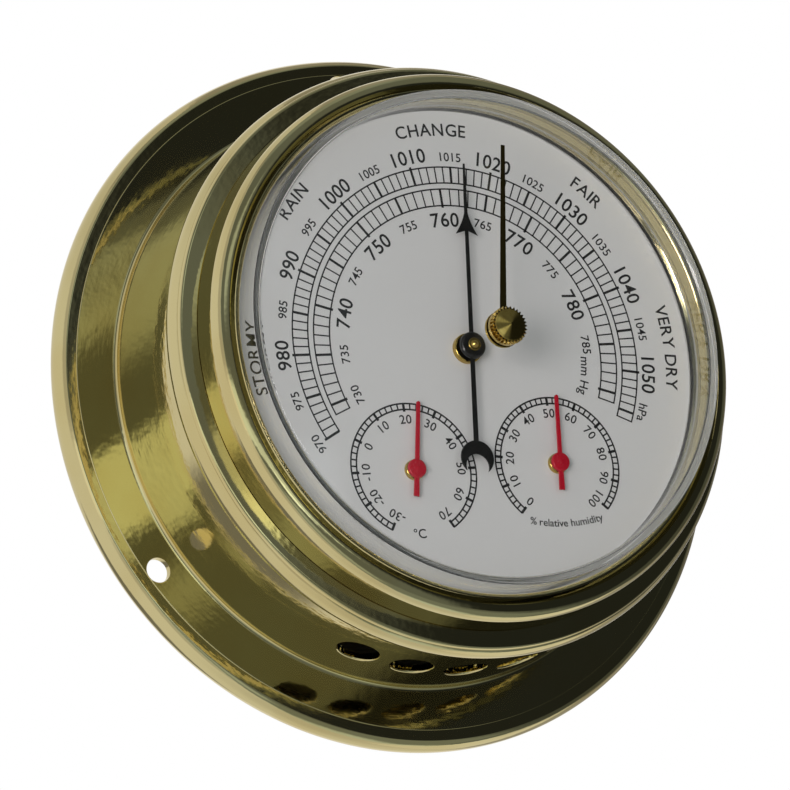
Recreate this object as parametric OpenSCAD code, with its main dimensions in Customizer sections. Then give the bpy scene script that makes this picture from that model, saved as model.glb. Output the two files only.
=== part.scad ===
// Wall weather station in a spun brass case: aneroid barometer, bimetal
// thermometer and hygrometer behind one dial, with a hand-set pointer.
// Z is up as it hangs, the dial faces -Y, and Y = 0 is the wall.

/* [Dial] */
// Diameter of the dial plate
dial_d = 94.3; // [90:0.1:120]
// Thickness of the dial plate
dial_t = 1.0; // [0.6:0.1:1.6]
// Distance of each small scale's centre to the side of the middle
sub_x = 13.9; // [13:0.1:16]
// Distance of the small scales' centres below the middle
sub_y = 21.1; // [20:0.1:23]
// Pressure that the main hand shows, in hectopascals
pressure = 1016; // [970:1:1055]
// Temperature that the left hand shows, in degrees Celsius
temperature = 23.7; // [-30:0.1:70]
// Relative humidity that the right hand shows, in per cent
humidity = 52.4; // [0:0.1:100]
// Pressure that the hand-set pointer marks, in hectopascals
set_pressure = 1017; // [970:1:1055]

/* [Case] */
// Height of the case's front ledge from the wall
case_h = 32; // [31:0.5:44]
// Thickness of the spun sheet
sheet_t = 1.4; // [1:0.1:1.7]
// How much the ledge rises towards the bezel
ledge_rise = 0.3; // [0:0.05:0.5]
// Width of the ledge round the bezel
ledge_w = 3.2; // [3:0.1:6]
// How far the bead stands out from the neck
bead_out = 0.9; // [0.4:0.1:1.4]
// Radius of the bead's curve
bead_curve_r = 3; // [2.5:0.1:7]
// Width of the flange outside the neck
flange_w = 10.9; // [10:0.1:16]
// Height of the flange's outer edge from the wall
flange_h = 5.2; // [4.8:0.1:6]
// How much the flange rises towards the neck, or dips where it is negative
flange_rise = -0.3; // [-0.5:0.1:1.2]
// Radius of the hollow curve between flange and neck
neck_fillet_r = 0.8; // [0.5:0.1:2.6]
// Radius of the rim's round outer face
rim_roll_r = 3.5; // [3:0.1:4]
// Height of the rim's widest point from the wall
rim_h = 2.1; // [1.6:0.1:2.2]
// Width of the rolled rim on the wall side
rim_w = 3.2; // [2.8:0.1:3.6]
// Diameter of each wall screw hole
screw_hole_d = 4.4; // [3:0.1:5]
// Distance of the screw holes' circle outside the neck
screw_out = 5.2; // [4.5:0.1:5.5]
// Diameter of each vent hole
vent_d = 7.6; // [4:0.1:9]
// Height of the vent holes' centres from the wall
vent_h = 17.5; // [14:0.5:20]
// Angle between neighbouring vent holes
vent_pitch = 11.3; // [10.8:0.1:16]
// Turn of the whole row of vents to the left of the bottom
vent_turn = 0.7; // [0:0.1:3]

/* [Bezel and crystal] */
// Wall of the bezel round the dial
bezel_wall = 2.1; // [1.6:0.1:3]
// Height of the bezel above the case's ledge
bezel_rise = 8.45; // [8.05:0.05:12]
// Radius of the bezel's rounded front edge
bezel_nose_r = 2.5; // [0.8:0.1:2.8]
// Width of the bezel's inner lip over the crystal's foot
bezel_lip_w = 2.4; // [1.8:0.1:3]
// Thickness of the clear acrylic
crystal_t = 1.3; // [1.1:0.1:3]
// Height of the crystal's front corner above the dial
crystal_rise = 9.7; // [9:0.1:14]
// How far the crystal's middle bulges past its corner
dome_rise = 4.5; // [2:0.1:7]

/* [Set pointer] */
// Diameter of the knurled knob
knob_d = 6.7; // [6:0.1:10]
// How far the knob's axis sits below the dial's middle
set_drop = 0.6; // [0:0.1:1]
// Number of ridges round the knob
knob_ridges = 30; // [20:1:40]
// Reach of the set pointer from the middle
set_reach = 33.5; // [20:0.1:38]
// Width of the set pointer
set_hand_w = 0.9; // [0.6:0.05:1.4]
// Diameter of the set pointer's shaft
set_shaft_d = 1.6; // [1.2:0.1:2]

/* [Hands] */
// Reach of the barometer hand from the middle
hand_reach = 33.1; // [26:0.1:36]
// Diameter of the barometer hand's hub
hub_d = 4.8; // [4:0.1:6]
// Diameter of the eyelet under the barometer hand
boss_d = 5.3; // [4.6:0.1:6]
// Reach of the small red hands
small_reach = 12.1; // [10:0.1:12.5]
// Diameter of the small hands' hubs
small_hub_d = 3.4; // [3:0.1:5]
// Thickness of the hands
hand_t = 0.35; // [0.2:0.05:0.5]

/* [Movement] */
// Diameter of the aneroid capsule
capsule_d = 34; // [26:0.5:36]
// Thickness of the aneroid capsule
capsule_t = 6; // [5:0.1:6.5]
// Thickness of the C-shaped main spring
spring_t = 1.0; // [0.8:0.05:1.2]
// Width of the main spring
spring_w = 12; // [8:0.5:14]
// Diameter of the hand's arbor
arbor_d = 1.6; // [1.2:0.1:2]
// Diameter of the rocking shaft
rocker_d = 2.0; // [1.6:0.1:2.8]
// Diameter of the pillars
pillar_d = 5; // [4:0.1:6]
// Thickness of the movement plate
plate_t = 1.5; // [1.2:0.1:2]
// Tooth size of sector and pinion, as pitch diameter over teeth
gear_module = 0.4; // [0.35:0.01:0.41]
// Teeth of the pinion
pinion_teeth = 12; // [12:2:12]
// Teeth of the sector's whole circle
sector_teeth = 96; // [96:2:96]
// Outer diameter of the thermometer and hygrometer coils
coil_d = 15; // [12:0.5:16]

/* [Hidden] */
$fn = 64;

// clearances
fit = 0.04;
run_fit = 0.03;
gap = 0.3;
link_play = 0.4;
cut = 1;

// case and bezel radii, from the dial outwards
dial_r = dial_d / 2;
rebate_r = dial_r + fit;
skirt_r = rebate_r + bezel_wall / 2;
opening_r = skirt_r + fit;
bezel_r = rebate_r + bezel_wall;
lip_r = rebate_r - bezel_lip_w;
neck_r = bezel_r + ledge_w;
bead_r = neck_r + bead_out;
flange_r = neck_r + flange_w;
screw_r = neck_r + screw_out;

// heights from the wall
dial_h = case_h + 3.4;
dial_back = dial_h - dial_t;
gasket_t = 0.56;
crystal_foot_h = dial_h + gasket_t + 2 * fit;
crystal_foot_t = 1.2;
bezel_shoulder_h = crystal_foot_h + crystal_foot_t + fit;
bezel_top = case_h + bezel_rise;
skirt_h = case_h - 4.5;
ring_t = 1.7;

// crystal
crystal_wall_r = lip_r - 0.4;
crystal_corner_h = dial_h + crystal_rise;
crystal_round_r = 0.5;
dome_edge_r = crystal_wall_r - crystal_round_r;
dome_r = (dome_edge_r * dome_edge_r + dome_rise * dome_rise) / (2 * dome_rise);
apex_h = crystal_corner_h + dome_rise;

// hands
deg_per_hpa = 2.7;
top_pressure = 1013.25;
deg_per_celsius = 3;
top_celsius = 20;
deg_per_percent = 2.7;
top_percent = 50;
hand_turn = (pressure - top_pressure) * deg_per_hpa;
set_turn = (set_pressure - top_pressure) * deg_per_hpa;
thermometer_turn = (temperature - top_celsius) * deg_per_celsius;
hygrometer_turn = (humidity - top_percent) * deg_per_percent;
boss_t = 1.1;
hand_h = dial_h + boss_t + 1.1;
hub_t = 0.9;
small_boss_t = 0.8;
small_hand_h = dial_h + small_boss_t + gap;

// movement heights: the plate from the wall, the bridge from the dial
plate_h = 8;
plate_top = plate_h + plate_t;
plate_r = dial_r - 6;
foot_len = 2.2;
bridge_t = 1.2;
bridge_top = dial_back - foot_len;
bridge_h = bridge_top - bridge_t;
gear_room = 6;
gear_plate_t = 1;
gear_plate_h = bridge_h - gear_room - gear_plate_t;
train_h = gear_plate_h + gear_plate_t;
sector_h = train_h + 2;
sector_t = 0.8;
hairspring_h = train_h + 4;
pillar_circle_r = plate_r - 4;
pillar_angles = [30, 150, 270];
stud_r = 1;

// gear train
arbor_r = arbor_d / 2;
pivot_r = 0.5;
pressure_angle = 25;
addendum = 0.85;
dedendum = 1.15;
backlash = 0.06;
pinion_pitch_r = gear_module * pinion_teeth / 2;
sector_pitch_r = gear_module * sector_teeth / 2;
sector_y = pinion_pitch_r + sector_pitch_r;
sector_half_teeth = 6;
gear_ratio = sector_teeth / pinion_teeth;
sector_turn = -hand_turn / gear_ratio;
tail_len = 7;
tail_y = sector_y + tail_len;
spacer_r = 1.5;
spacer_spots = [[-9, sector_y + 3], [9, sector_y + 3], [0, -7]];

// lever train: capsule, main spring, lever, drop link, rocker and link rod
capsule_x = -4;
capsule_y = 6;
capsule_foot = 1.5;
capsule_top = plate_top + capsule_foot + capsule_t;
leaf_h = capsule_top + 3.8;
lever_h = leaf_h + spring_t;
lever_t = 1;
lever_w = 3;
bend_x = capsule_x - 26;
bend_r = (leaf_h + spring_t - plate_top) / 2;
bend_h = plate_top + bend_r;
lever_end_x = capsule_x + 21;
rocker_arm = 4.5;
rocker_x = lever_end_x + rocker_arm;
rocker_h = plate_top + 6.5;
rocker_r = rocker_d / 2;
pin_r = 0.5;
link_h = sector_h + sector_t + 0.6;
link_t = 0.8;
rocker_tip_h = link_h + link_t / 2;
ear_t = 1.5;
ear_lo = capsule_y - 4;
ear_hi = tail_y + 3.4;
screw_spots = [[bend_x + 4, capsule_y - 4], [bend_x + 4, capsule_y + 4],
    [rocker_x, ear_lo + 8], [rocker_x, ear_hi - 6]];

// thermometer and hygrometer
small_arbor_r = 0.5;
coil_h = dial_back - 7.4;
coil_len = 4;
coil_turns = 4;
coil_strip = 0.35;
collet_r = 1.3;
cock_reach = coil_d / 2 + 2.5;
cock_h = coil_h - 3;

// set pointer
set_shaft_r = set_shaft_d / 2;
bush_r = set_shaft_r + 0.5;
set_hand_t = 0.5;
set_hand_h = apex_h + 0.55;
knob_h = set_hand_h + set_hand_t;
knob_collar_t = 0.8;
knob_body_t = 1.4;
knob_cone_t = 0.8;
clip_h = apex_h - crystal_t - 1.2;

// points along an arc
function arc(c, r, a0, a1, n = 10) =
    [for (i = [0 : n]) let (a = a0 + (a1 - a0) * i / n) [c[0] + r * cos(a), c[1] + r * sin(a)]];

// points of a spherical cap from radius r0 to r1
function cap(r, apex, r0, r1, n = 16) =
    [for (i = [0 : n]) let (x = r0 + (r1 - r0) * i / n) [x, apex - r + sqrt(r * r - x * x)]];

// involute of a base circle, at roll angle t
function involute(rb, t) = rb * [cos(t) + t * PI / 180 * sin(t), sin(t) - t * PI / 180 * cos(t)];
function roll_at(rb, r) = sqrt(max(0, pow(r / rb, 2) - 1)) * 180 / PI;
function turned(p, a) = [p[0] * cos(a) - p[1] * sin(a), p[0] * sin(a) + p[1] * cos(a)];

// one gear tooth, centred on angle a, from root to root
function tooth(teeth, a) =
    let (rp = gear_module * teeth / 2,
        rb = rp * cos(pressure_angle),
        ra = rp + addendum * gear_module,
        rf = rp - dedendum * gear_module,
        t_pitch = roll_at(rb, rp),
        turn = t_pitch - pressure_angle,
        half = 90 / teeth - backlash / 2 / rp * 180 / PI,
        t0 = roll_at(rb, max(rb, rf)),
        t1 = roll_at(rb, ra),
        n = 5,
        flank = [for (i = [0 : n]) turned(involute(rb, t0 + (t1 - t0) * i / n), -turn - half)],
        foot = rf < rb ? [turned([rf, 0], -turn - half)] : [],
        side = concat(foot, flank),
        last = len(side) - 1)
    concat([for (p = side) turned(p, a)], [for (i = [last : -1 : 0]) turned([side[i][0], -side[i][1]], a)]);

// a flat spiral strip, from radius r0 to r1
module spiral(r0, r1, turns, strip) {
    n = turns * 24;
    function r_at(i) = r0 + (r1 - r0) * i / n;
    polygon(concat(
        [for (i = [0 : n]) (r_at(i) + strip / 2) * [cos(i * 15), sin(i * 15)]],
        [for (i = [n : -1 : 0]) (r_at(i) - strip / 2) * [cos(i * 15), sin(i * 15)]]));
}

// turns the working frame (x right, y up, z out from the wall) into the hung one
module hung() {
    rotate([90, 0, 0]) children();
}

module at_pillars() {
    for (a = pillar_angles) rotate([0, 0, a]) translate([pillar_circle_r, 0, 0]) children();
}

module tube(r_out, r_in, h0, h1) {
    difference() {
        translate([0, 0, h0]) cylinder(r = r_out, h = h1 - h0);
        translate([0, 0, h0 - cut]) cylinder(r = r_in, h = h1 - h0 + 2 * cut);
    }
}

module screw(head_r, head_t, shank_r, shank_len) {
    difference() {
        union() {
            translate([0, 0, -head_t]) cylinder(r = head_r, h = head_t);
            cylinder(r = shank_r, h = shank_len);
        }
        translate([-head_r - cut, -0.25, -head_t - cut]) cube([2 * (head_r + cut), 0.5, cut + 0.5]);
    }
}

// CASE

// Spun brass case: rolled rim, flange, neck with bead, and the ledge round the bezel
module case_body() {
    roll = [flange_r - rim_roll_r, rim_h];
    rim_in_r = flange_r - rim_w;
    band_h = flange_h - 0.3;
    band_a = asin(min(1, (band_h - rim_h) / rim_roll_r));
    step_r = 0.16;
    step = [flange_r - 3.4, flange_h - step_r];
    fillet_c = [neck_r + neck_fillet_r, flange_h + flange_rise + neck_fillet_r];
    corner_r = 0.7;
    bead_a = acos(1 - bead_out / bead_curve_r);
    bead_h = case_h - corner_r - 0.1 - bead_curve_r * sin(bead_a);
    bead_c = [bead_r - bead_curve_r, bead_h];
    inner_r = neck_r - sheet_t;
    outside = concat(
        arc(roll, rim_roll_r, -asin(rim_h / rim_roll_r), band_a, 14),
        arc(step, step_r, 0, 90, 4),
        arc(fillet_c, neck_fillet_r, 270, 180),
        arc(bead_c, bead_curve_r, -bead_a, bead_a, 12),
        arc([neck_r - corner_r, case_h - corner_r], corner_r, 0, 90, 5));
    inside = concat(
        [[bezel_r + 0.1, case_h + ledge_rise], [bezel_r + 0.1, case_h], [opening_r, case_h]],
        [[opening_r, case_h - sheet_t], [inner_r, case_h - sheet_t]],
        arc(fillet_c, neck_fillet_r + sheet_t, 180, 270),
        [[rim_in_r, flange_h - sheet_t], [rim_in_r, 0]]);
    color("#b9a25a") hung() difference() {
        rotate_extrude($fn = 180) polygon(concat(outside, inside));
        for (a = [90, 210, 330]) rotate([0, 0, a]) translate([screw_r, 0, -cut])
            cylinder(d = screw_hole_d, h = flange_h + max(0, flange_rise) + 2 * cut);
        for (k = [-2 : 2]) rotate([0, 0, k * vent_pitch - vent_turn])
            translate([0, -neck_r + sheet_t + cut, vent_h])
                rotate([90, 0, 0]) cylinder(d = vent_d, h = sheet_t + 3 * cut);
    }
}

// Thin pan that closes the neck from behind, with the hole over the calibration screw
module rear_cover() {
    pan_r = neck_r - sheet_t - fit;
    pan_t = 0.8;
    pan_h = 0.8;
    pan_rise = flange_h + flange_rise + neck_fillet_r + 1.2;
    access_r = 3.4;
    color("#a9a9a4") hung() difference() {
        translate([0, 0, pan_h]) cylinder(r = pan_r, h = pan_rise - pan_h, $fn = 120);
        translate([0, 0, pan_h + pan_t]) cylinder(r = pan_r - pan_t, h = pan_rise, $fn = 120);
        translate([bend_x, capsule_y, 0]) cylinder(r = access_r, h = 5);
        for (k = [-1 : 1]) translate([k * 11, -sub_y - 8, 0]) cylinder(r = 2, h = 5);
    }
}

// Brass ring that holds crystal and dial, and plugs into the case
module bezel_ring() {
    nose_r = min(bezel_nose_r, bezel_wall + bezel_lip_w - 1.5);
    nose = [bezel_r - nose_r, bezel_top - nose_r - 0.15];
    lip = [lip_r + 0.8, bezel_top - 0.8];
    foot = case_h + 0.01;
    color("#bfa75c") hung() rotate_extrude($fn = 180) polygon(concat(
        [[skirt_r, skirt_h], [skirt_r, foot], [bezel_r, foot]],
        arc(nose, nose_r, 0, 90, 12),
        [[(nose[0] + lip[0] + 0.2) / 2, bezel_top - 0.8]],
        arc(lip, 0.8, 75, 180, 6),
        [[lip_r, bezel_shoulder_h], [rebate_r, bezel_shoulder_h], [rebate_r, skirt_h]]));
}

// Clear acrylic cup: foot, upright wall and gently domed front
module crystal() {
    in_r = crystal_wall_r - crystal_t;
    foot_r = dial_r;
    corner = [dome_edge_r, crystal_corner_h - crystal_round_r];
    in_dome = dome_r - crystal_t;
    in_apex = apex_h - crystal_t;
    color([0.85, 0.9, 0.92, 0.35]) hung() difference() {
        rotate_extrude($fn = 120) polygon(concat(
            [[in_r, crystal_foot_h], [foot_r, crystal_foot_h], [foot_r, crystal_foot_h + crystal_foot_t],
                [crystal_wall_r, crystal_foot_h + crystal_foot_t]],
            arc(corner, crystal_round_r, 0, 78, 6),
            cap(dome_r, apex_h, dome_edge_r - 0.2, 0),
            cap(in_dome, in_apex, 0, in_r - 0.6),
            [[in_r, in_apex - in_dome + sqrt(in_dome * in_dome - in_r * in_r) - 0.6]]));
        translate([0, -set_drop, clip_h]) cylinder(r = bush_r + fit, h = crystal_t + 4);
    }
}

module crystal_gasket() {
    color("#3a3a3a") hung() tube(dial_r, dial_r - 1.9, dial_h + fit, dial_h + fit + gasket_t);
}

// White dial plate with its holes for the three arbors
module dial_plate() {
    color("#d8d8d6") hung() difference() {
        translate([0, 0, dial_back]) cylinder(r = dial_r, h = dial_t, $fn = 120);
        translate([0, 0, dial_back - cut]) cylinder(r = boss_tube_r() + fit, h = dial_t + 2 * cut);
        for (s = [-1, 1]) translate([s * sub_x, -sub_y, dial_back - cut])
            cylinder(r = small_tube_r() + fit, h = dial_t + 2 * cut);
    }
}

// Split ring that holds the dial against the crystal
module dial_retaining_ring() {
    ring_top = dial_back - fit;
    color("#8f8f8a") hung() difference() {
        tube(rebate_r - 0.02, rebate_r - 2.6, ring_top - ring_t, ring_top);
        translate([-1.5, 0, ring_top - ring_t - cut]) cube([3, dial_r + 2, ring_t + 2 * cut]);
    }
}

// Studs on the dial's back that carry the movement
module dial_feet() {
    tail = 5;
    color("#b08d3c") hung() at_pillars() {
        translate([0, 0, bridge_top]) cylinder(r = 2.2, h = foot_len);
        translate([0, 0, bridge_h - tail]) cylinder(r = stud_r, h = tail + bridge_t + 0.1);
    }
}

// BAROMETER HAND AND GEAR TRAIN

function boss_tube_r() = arbor_r + 0.9;

// Brass eyelet in the dial round the hand's arbor
module barometer_boss() {
    tube_len = 1.6;
    color("#8a7233") hung() difference() {
        union() {
            translate([0, 0, dial_h]) rotate_extrude() polygon(concat(
                [[0, 0], [boss_d / 2, 0]], arc([boss_d / 2 - 0.3, boss_t - 0.3], 0.3, 0, 90, 4), [[0, boss_t]]));
            translate([0, 0, dial_back - tube_len + dial_t])
                cylinder(r = boss_tube_r(), h = tube_len + 0.1);
        }
        translate([0, 0, dial_back - tube_len]) cylinder(r = arbor_r + 0.2, h = tube_len + dial_t + 3);
    }
}

// outline of the hand, pointing up
module hand_outline() {
    flare_y = 24.35;
    barb_y = 20.1;
    barb_w = 2.15;
    needle_w = 0.33;
    flare = [for (i = [0 : 8]) let (t = i / 8) [needle_w + (barb_w - needle_w) * pow(t, 1.5),
        flare_y + (barb_y - flare_y) * t]];
    right = concat([[0.2, hand_reach], [needle_w, flare_y + 3]], flare, [[0.36, barb_y + 0.7], [0.44, 0],
        [0.5, -17.6]]);
    n = len(right);
    polygon(concat(right, [for (i = [n - 1 : -1 : 0]) [-right[i][0], right[i][1]]]));
    difference() {
        translate([0, -20.2]) circle(r = 3.1);
        translate([0, -21.7]) circle(r = 2.2);
    }
}

module barometer_hand() {
    bore_r = arbor_r + 0.01;
    color("#171715") hung() rotate([0, 0, -hand_turn]) difference() {
        union() {
            translate([0, 0, hand_h]) linear_extrude(hand_t) hand_outline();
            translate([0, 0, hand_h]) rotate_extrude() polygon(concat(
                [[0, 0], [hub_d / 2, 0]], arc([hub_d / 2 - 0.55, 0.35], 0.55, 0, 90, 5), [[0, hub_t]]));
            translate([0, 0, hand_h - 0.7]) cylinder(r = bore_r + 0.4, h = 0.8);
        }
        translate([0, 0, hand_h - 2]) cylinder(r = bore_r, h = 4);
    }
}

// Small brass cone nut on the end of the arbor
module hand_cap() {
    seat = hand_h + hub_t;
    color("#c9a84f") hung() difference() {
        translate([0, 0, seat]) rotate_extrude()
            polygon([[0, 0], [arbor_r + 0.35, 0], [arbor_r + 0.35, 0.25], [0.25, 0.85], [0, 0.9]]);
        translate([0, 0, seat - cut]) cylinder(r = arbor_r + 0.01, h = cut + 0.3);
    }
}

module hand_arbor() {
    top = hand_h + hub_t + 0.28;
    rear = train_h + 0.2;
    color("#9a9a98") hung() {
        translate([0, 0, rear]) cylinder(r = arbor_r, h = top - rear);
        translate([0, 0, gear_plate_h + 0.1]) cylinder(r = pivot_r, h = rear - gear_plate_h);
    }
}

// Pinion with a gap towards the sector when the hand points straight up
module pinion() {
    points = [for (k = [0 : pinion_teeth - 1]) each tooth(pinion_teeth, 90 + (k + 0.5) * 360 / pinion_teeth)];
    color("#c2a14a") hung() rotate([0, 0, -hand_turn]) difference() {
        translate([0, 0, sector_h - 0.4]) linear_extrude(sector_t + 0.8) polygon(points);
        translate([0, 0, sector_h - 2]) cylinder(r = arbor_r + 0.01, h = 6);
    }
}

module hairspring() {
    color("#4a5a78") hung() translate([0, 0, hairspring_h]) linear_extrude(0.6)
        spiral(arbor_r + 1.2, 4.9, 4, 0.16);
}

module hairspring_collet() {
    color("#c2a14a") hung() tube(arbor_r + 0.8, arbor_r + 0.01, hairspring_h - 0.2, hairspring_h + 0.8);
}

// Stud under the bridge that holds the hairspring's outer end
module hairspring_stud() {
    stud = 0.45;
    color("#b08d3c") hung() translate([4.9 + 0.08 + gap + stud, 0, hairspring_h - 0.3])
        cylinder(r = stud, h = bridge_h - hairspring_h + 0.3);
}

// Toothed sector, with the tail that the link rod moves
module sector_gear() {
    step = 360 / sector_teeth;
    rim_r = sector_pitch_r - 3.2;
    edge = (sector_half_teeth + 0.6) * step;
    rim = concat(
        arc([0, 0], rim_r, -90 - edge, -90 + edge, 20),
        [(sector_pitch_r - dedendum * gear_module) * [cos(-90 + edge), sin(-90 + edge)]],
        [for (k = [sector_half_teeth : -1 : -sector_half_teeth]) each reversed(tooth(sector_teeth, -90 + k * step))],
        [(sector_pitch_r - dedendum * gear_module) * [cos(-90 - edge), sin(-90 - edge)]]);
    color("#c2a14a") hung() translate([0, sector_y, 0]) rotate([0, 0, -sector_turn]) {
        difference() {
            translate([0, 0, sector_h]) linear_extrude(sector_t) union() {
                polygon(rim);
                circle(r = 3);
                for (a = [-edge + 3, edge - 3]) rotate([0, 0, a]) translate([-1, -rim_r - 0.6]) square([2, rim_r]);
                translate([-1.1, 0]) square([2.2, tail_len]);
                translate([0, tail_len]) circle(r = 1.6);
            }
            translate([0, 0, sector_h - cut]) cylinder(r = 1.01, h = sector_t + 2 * cut);
        }
        translate([0, tail_len, sector_h + 0.1]) cylinder(r = pin_r, h = link_h + link_t + 0.5 - sector_h);
    }
}

function reversed(list) = [for (i = [len(list) - 1 : -1 : 0]) list[i]];

module sector_arbor() {
    color("#9a9a98") hung() translate([0, sector_y, 0]) {
        translate([0, 0, train_h + 0.2]) cylinder(r = 1, h = gear_room - 0.4);
        translate([0, 0, gear_plate_h + 0.1]) cylinder(r = pivot_r, h = 1.2);
        translate([0, 0, bridge_h - 0.3]) cylinder(r = pivot_r, h = 1.2);
    }
}

// LEVER TRAIN

// Rod from the sector's tail to the rocking shaft's tall arm
module link_rod() {
    eye_r = pin_r + link_play + 0.9;
    block = 2 * (pin_r + link_play + 0.4);
    hole_r = pin_r + link_play;
    color("#b6b6b2") hung() translate([0, tail_y, 0]) difference() {
        union() {
            translate([0, 0, link_h]) cylinder(r = eye_r, h = link_t);
            translate([0.5, -0.6, link_h]) cube([rocker_x - 1, 1.2, link_t]);
            translate([rocker_x - block / 2, -0.8, rocker_tip_h - block / 2]) cube([block, 1.6, block]);
        }
        translate([0, 0, link_h - cut]) cylinder(r = hole_r, h = link_t + 2 * cut);
        translate([rocker_x, 0.8 + cut, rocker_tip_h]) rotate([90, 0, 0]) cylinder(r = hole_r, h = 1.6 + 2 * cut);
    }
}

// Rocking shaft: the short arm takes the drop link, the tall arm moves the link rod
module rocker_shaft() {
    arm_t = 1;
    short_y = capsule_y - 1;
    tall_y = tail_y + 1.1;
    color("#9a9a98") hung() {
        translate([rocker_x, ear_hi + ear_t + 0.3, rocker_h]) rotate([90, 0, 0])
            cylinder(r = rocker_r, h = ear_hi - ear_lo + ear_t + 0.6);
        for (y = [ear_lo + ear_t + 0.9, ear_hi - 0.1]) translate([rocker_x, y, rocker_h])
            rotate([90, 0, 0]) cylinder(r = rocker_r + 0.7, h = 0.8);
        translate([lever_end_x - 0.9, short_y, rocker_h - 0.9]) cube([rocker_arm + 0.9, arm_t, 1.8]);
        translate([lever_end_x, short_y + 3.2, rocker_h]) rotate([90, 0, 0]) cylinder(r = pin_r, h = 3.1);
        translate([rocker_x - 1.1, tall_y, rocker_h]) cube([2.2, arm_t, rocker_tip_h - rocker_h + 1]);
        translate([rocker_x, tall_y + 0.1, rocker_tip_h]) rotate([90, 0, 0]) cylinder(r = pin_r, h = 2.6);
    }
}

// Bracket with two ears that carry the rocking shaft
module rocker_bracket() {
    half_w = rocker_r + 1.4;
    base_t = 1.2;
    color("#b08d3c") hung() difference() {
        union() {
            translate([rocker_x - half_w, ear_lo, plate_top]) cube([2 * half_w, ear_hi + ear_t - ear_lo, base_t]);
            for (y = [ear_lo, ear_hi]) translate([rocker_x - half_w, y, plate_top])
                cube([2 * half_w, ear_t, rocker_h + rocker_r + 1.2 - plate_top]);
        }
        translate([rocker_x, ear_hi + 2 * ear_t, rocker_h]) rotate([90, 0, 0])
            cylinder(r = rocker_r + run_fit, h = ear_hi - ear_lo + 3 * ear_t);
        for (i = [2, 3]) translate([screw_spots[i][0], screw_spots[i][1], plate_top - cut])
            cylinder(r = stud_r + fit, h = base_t + 2 * cut);
    }
}

// Short link between the lever's end and the rocking shaft's short arm
module drop_link() {
    hole_r = pin_r + link_play;
    strip_w = 2 * hole_r + 1;
    lever_pin_h = lever_h + lever_t / 2;
    color("#b6b6b2") hung() translate([lever_end_x, capsule_y + 1.6, 0]) rotate([90, 0, 0])
        linear_extrude(0.6) difference() {
            union() {
                translate([-strip_w / 2, rocker_h]) square([strip_w, lever_pin_h - rocker_h]);
                for (h = [rocker_h, lever_pin_h]) translate([0, h]) circle(d = strip_w);
            }
            translate([0, rocker_h]) circle(r = hole_r);
            translate([0, lever_pin_h]) circle(r = pin_r + fit / 2);
        }
}

// Lever on the end of the main spring
module lever_arm() {
    start_x = capsule_x - 4;
    color("#b08d3c") hung() difference() {
        union() {
            translate([start_x, capsule_y - lever_w / 2, lever_h])
                cube([lever_end_x - 3 - start_x, lever_w, lever_t]);
            translate([lever_end_x - 4, capsule_y - 1, lever_h]) cube([4.8, 1.4, lever_t]);
            translate([lever_end_x, capsule_y + 2.2, lever_h + lever_t / 2]) rotate([90, 0, 0])
                cylinder(r = pin_r, h = 2.1);
        }
        translate([capsule_x, capsule_y, lever_h - cut]) cylinder(r = 1.21, h = lever_t + 2 * cut);
    }
}

// Post on the capsule, with the nut that holds spring and lever
module capsule_post() {
    color("#9a9a98") hung() translate([capsule_x, capsule_y, 0]) {
        translate([0, 0, capsule_top + 0.6]) cylinder(r = 2, h = leaf_h - capsule_top - 0.6);
        translate([0, 0, leaf_h - 0.1]) cylinder(r = 1.2, h = spring_t + lever_t + 0.2);
        translate([0, 0, lever_h + lever_t]) cylinder(r = 2.1, h = 0.45, $fn = 6);
    }
}

// Sealed capsule with ringed waves on both faces
module aneroid_capsule() {
    r = capsule_d / 2;
    mid = capsule_t / 2;
    waves = 4;
    wave = 0.35;
    n = 32;
    half = [for (i = [0 : n]) let (x = 3.5 + (r - 5) * i / n)
        [x, mid - 0.9 - 0.6 * i / n + wave * cos(360 * waves * i / n)]];
    crimp = 0.4;
    color("#c7c3b4") hung() translate([capsule_x, capsule_y, plate_top + capsule_foot + mid])
        rotate_extrude($fn = 96) polygon(concat(
            [[0, mid + 0.6], [3, mid + 0.6], [3, mid - 0.3]], half, [[r, crimp], [r, -crimp]],
            [for (i = [n : -1 : 0]) [half[i][0], -half[i][1]]],
            [[3, -mid + 0.3], [3, -mid - capsule_foot], [0, -mid - capsule_foot]]));
}

// C-shaped leaf spring that holds the capsule open
module main_spring() {
    reach = capsule_x + 5;
    foot = 7.5;
    color("#5c6a80") hung() difference() {
        translate([0, capsule_y + spring_w / 2, 0]) rotate([90, 0, 0]) linear_extrude(spring_w)
            polygon(concat(
                [[bend_x + foot, plate_top]],
                arc([bend_x, bend_h], bend_r, 270, 90, 16),
                [[reach, leaf_h + spring_t], [reach, leaf_h]],
                arc([bend_x, bend_h], bend_r - spring_t, 90, 270, 16),
                [[bend_x + foot, plate_top + spring_t]]));
        translate([capsule_x, capsule_y, leaf_h - cut]) cylinder(r = 1.21, h = spring_t + 2 * cut);
        for (i = [0, 1]) translate([screw_spots[i][0], screw_spots[i][1], plate_top - cut])
            cylinder(r = stud_r + fit, h = spring_t + 2 * cut);
    }
}

// Screws that hold the spring's foot and the bracket to the plate
module movement_screws() {
    heads = [plate_top + spring_t, plate_top + spring_t, plate_top + 1.2, plate_top + 1.2];
    color("#8f8f8a") hung() for (i = [0 : 3]) translate([screw_spots[i][0], screw_spots[i][1], heads[i]])
        mirror([0, 0, 1]) screw(1.7, 1, stud_r, heads[i] - plate_h - 0.2);
}

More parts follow.
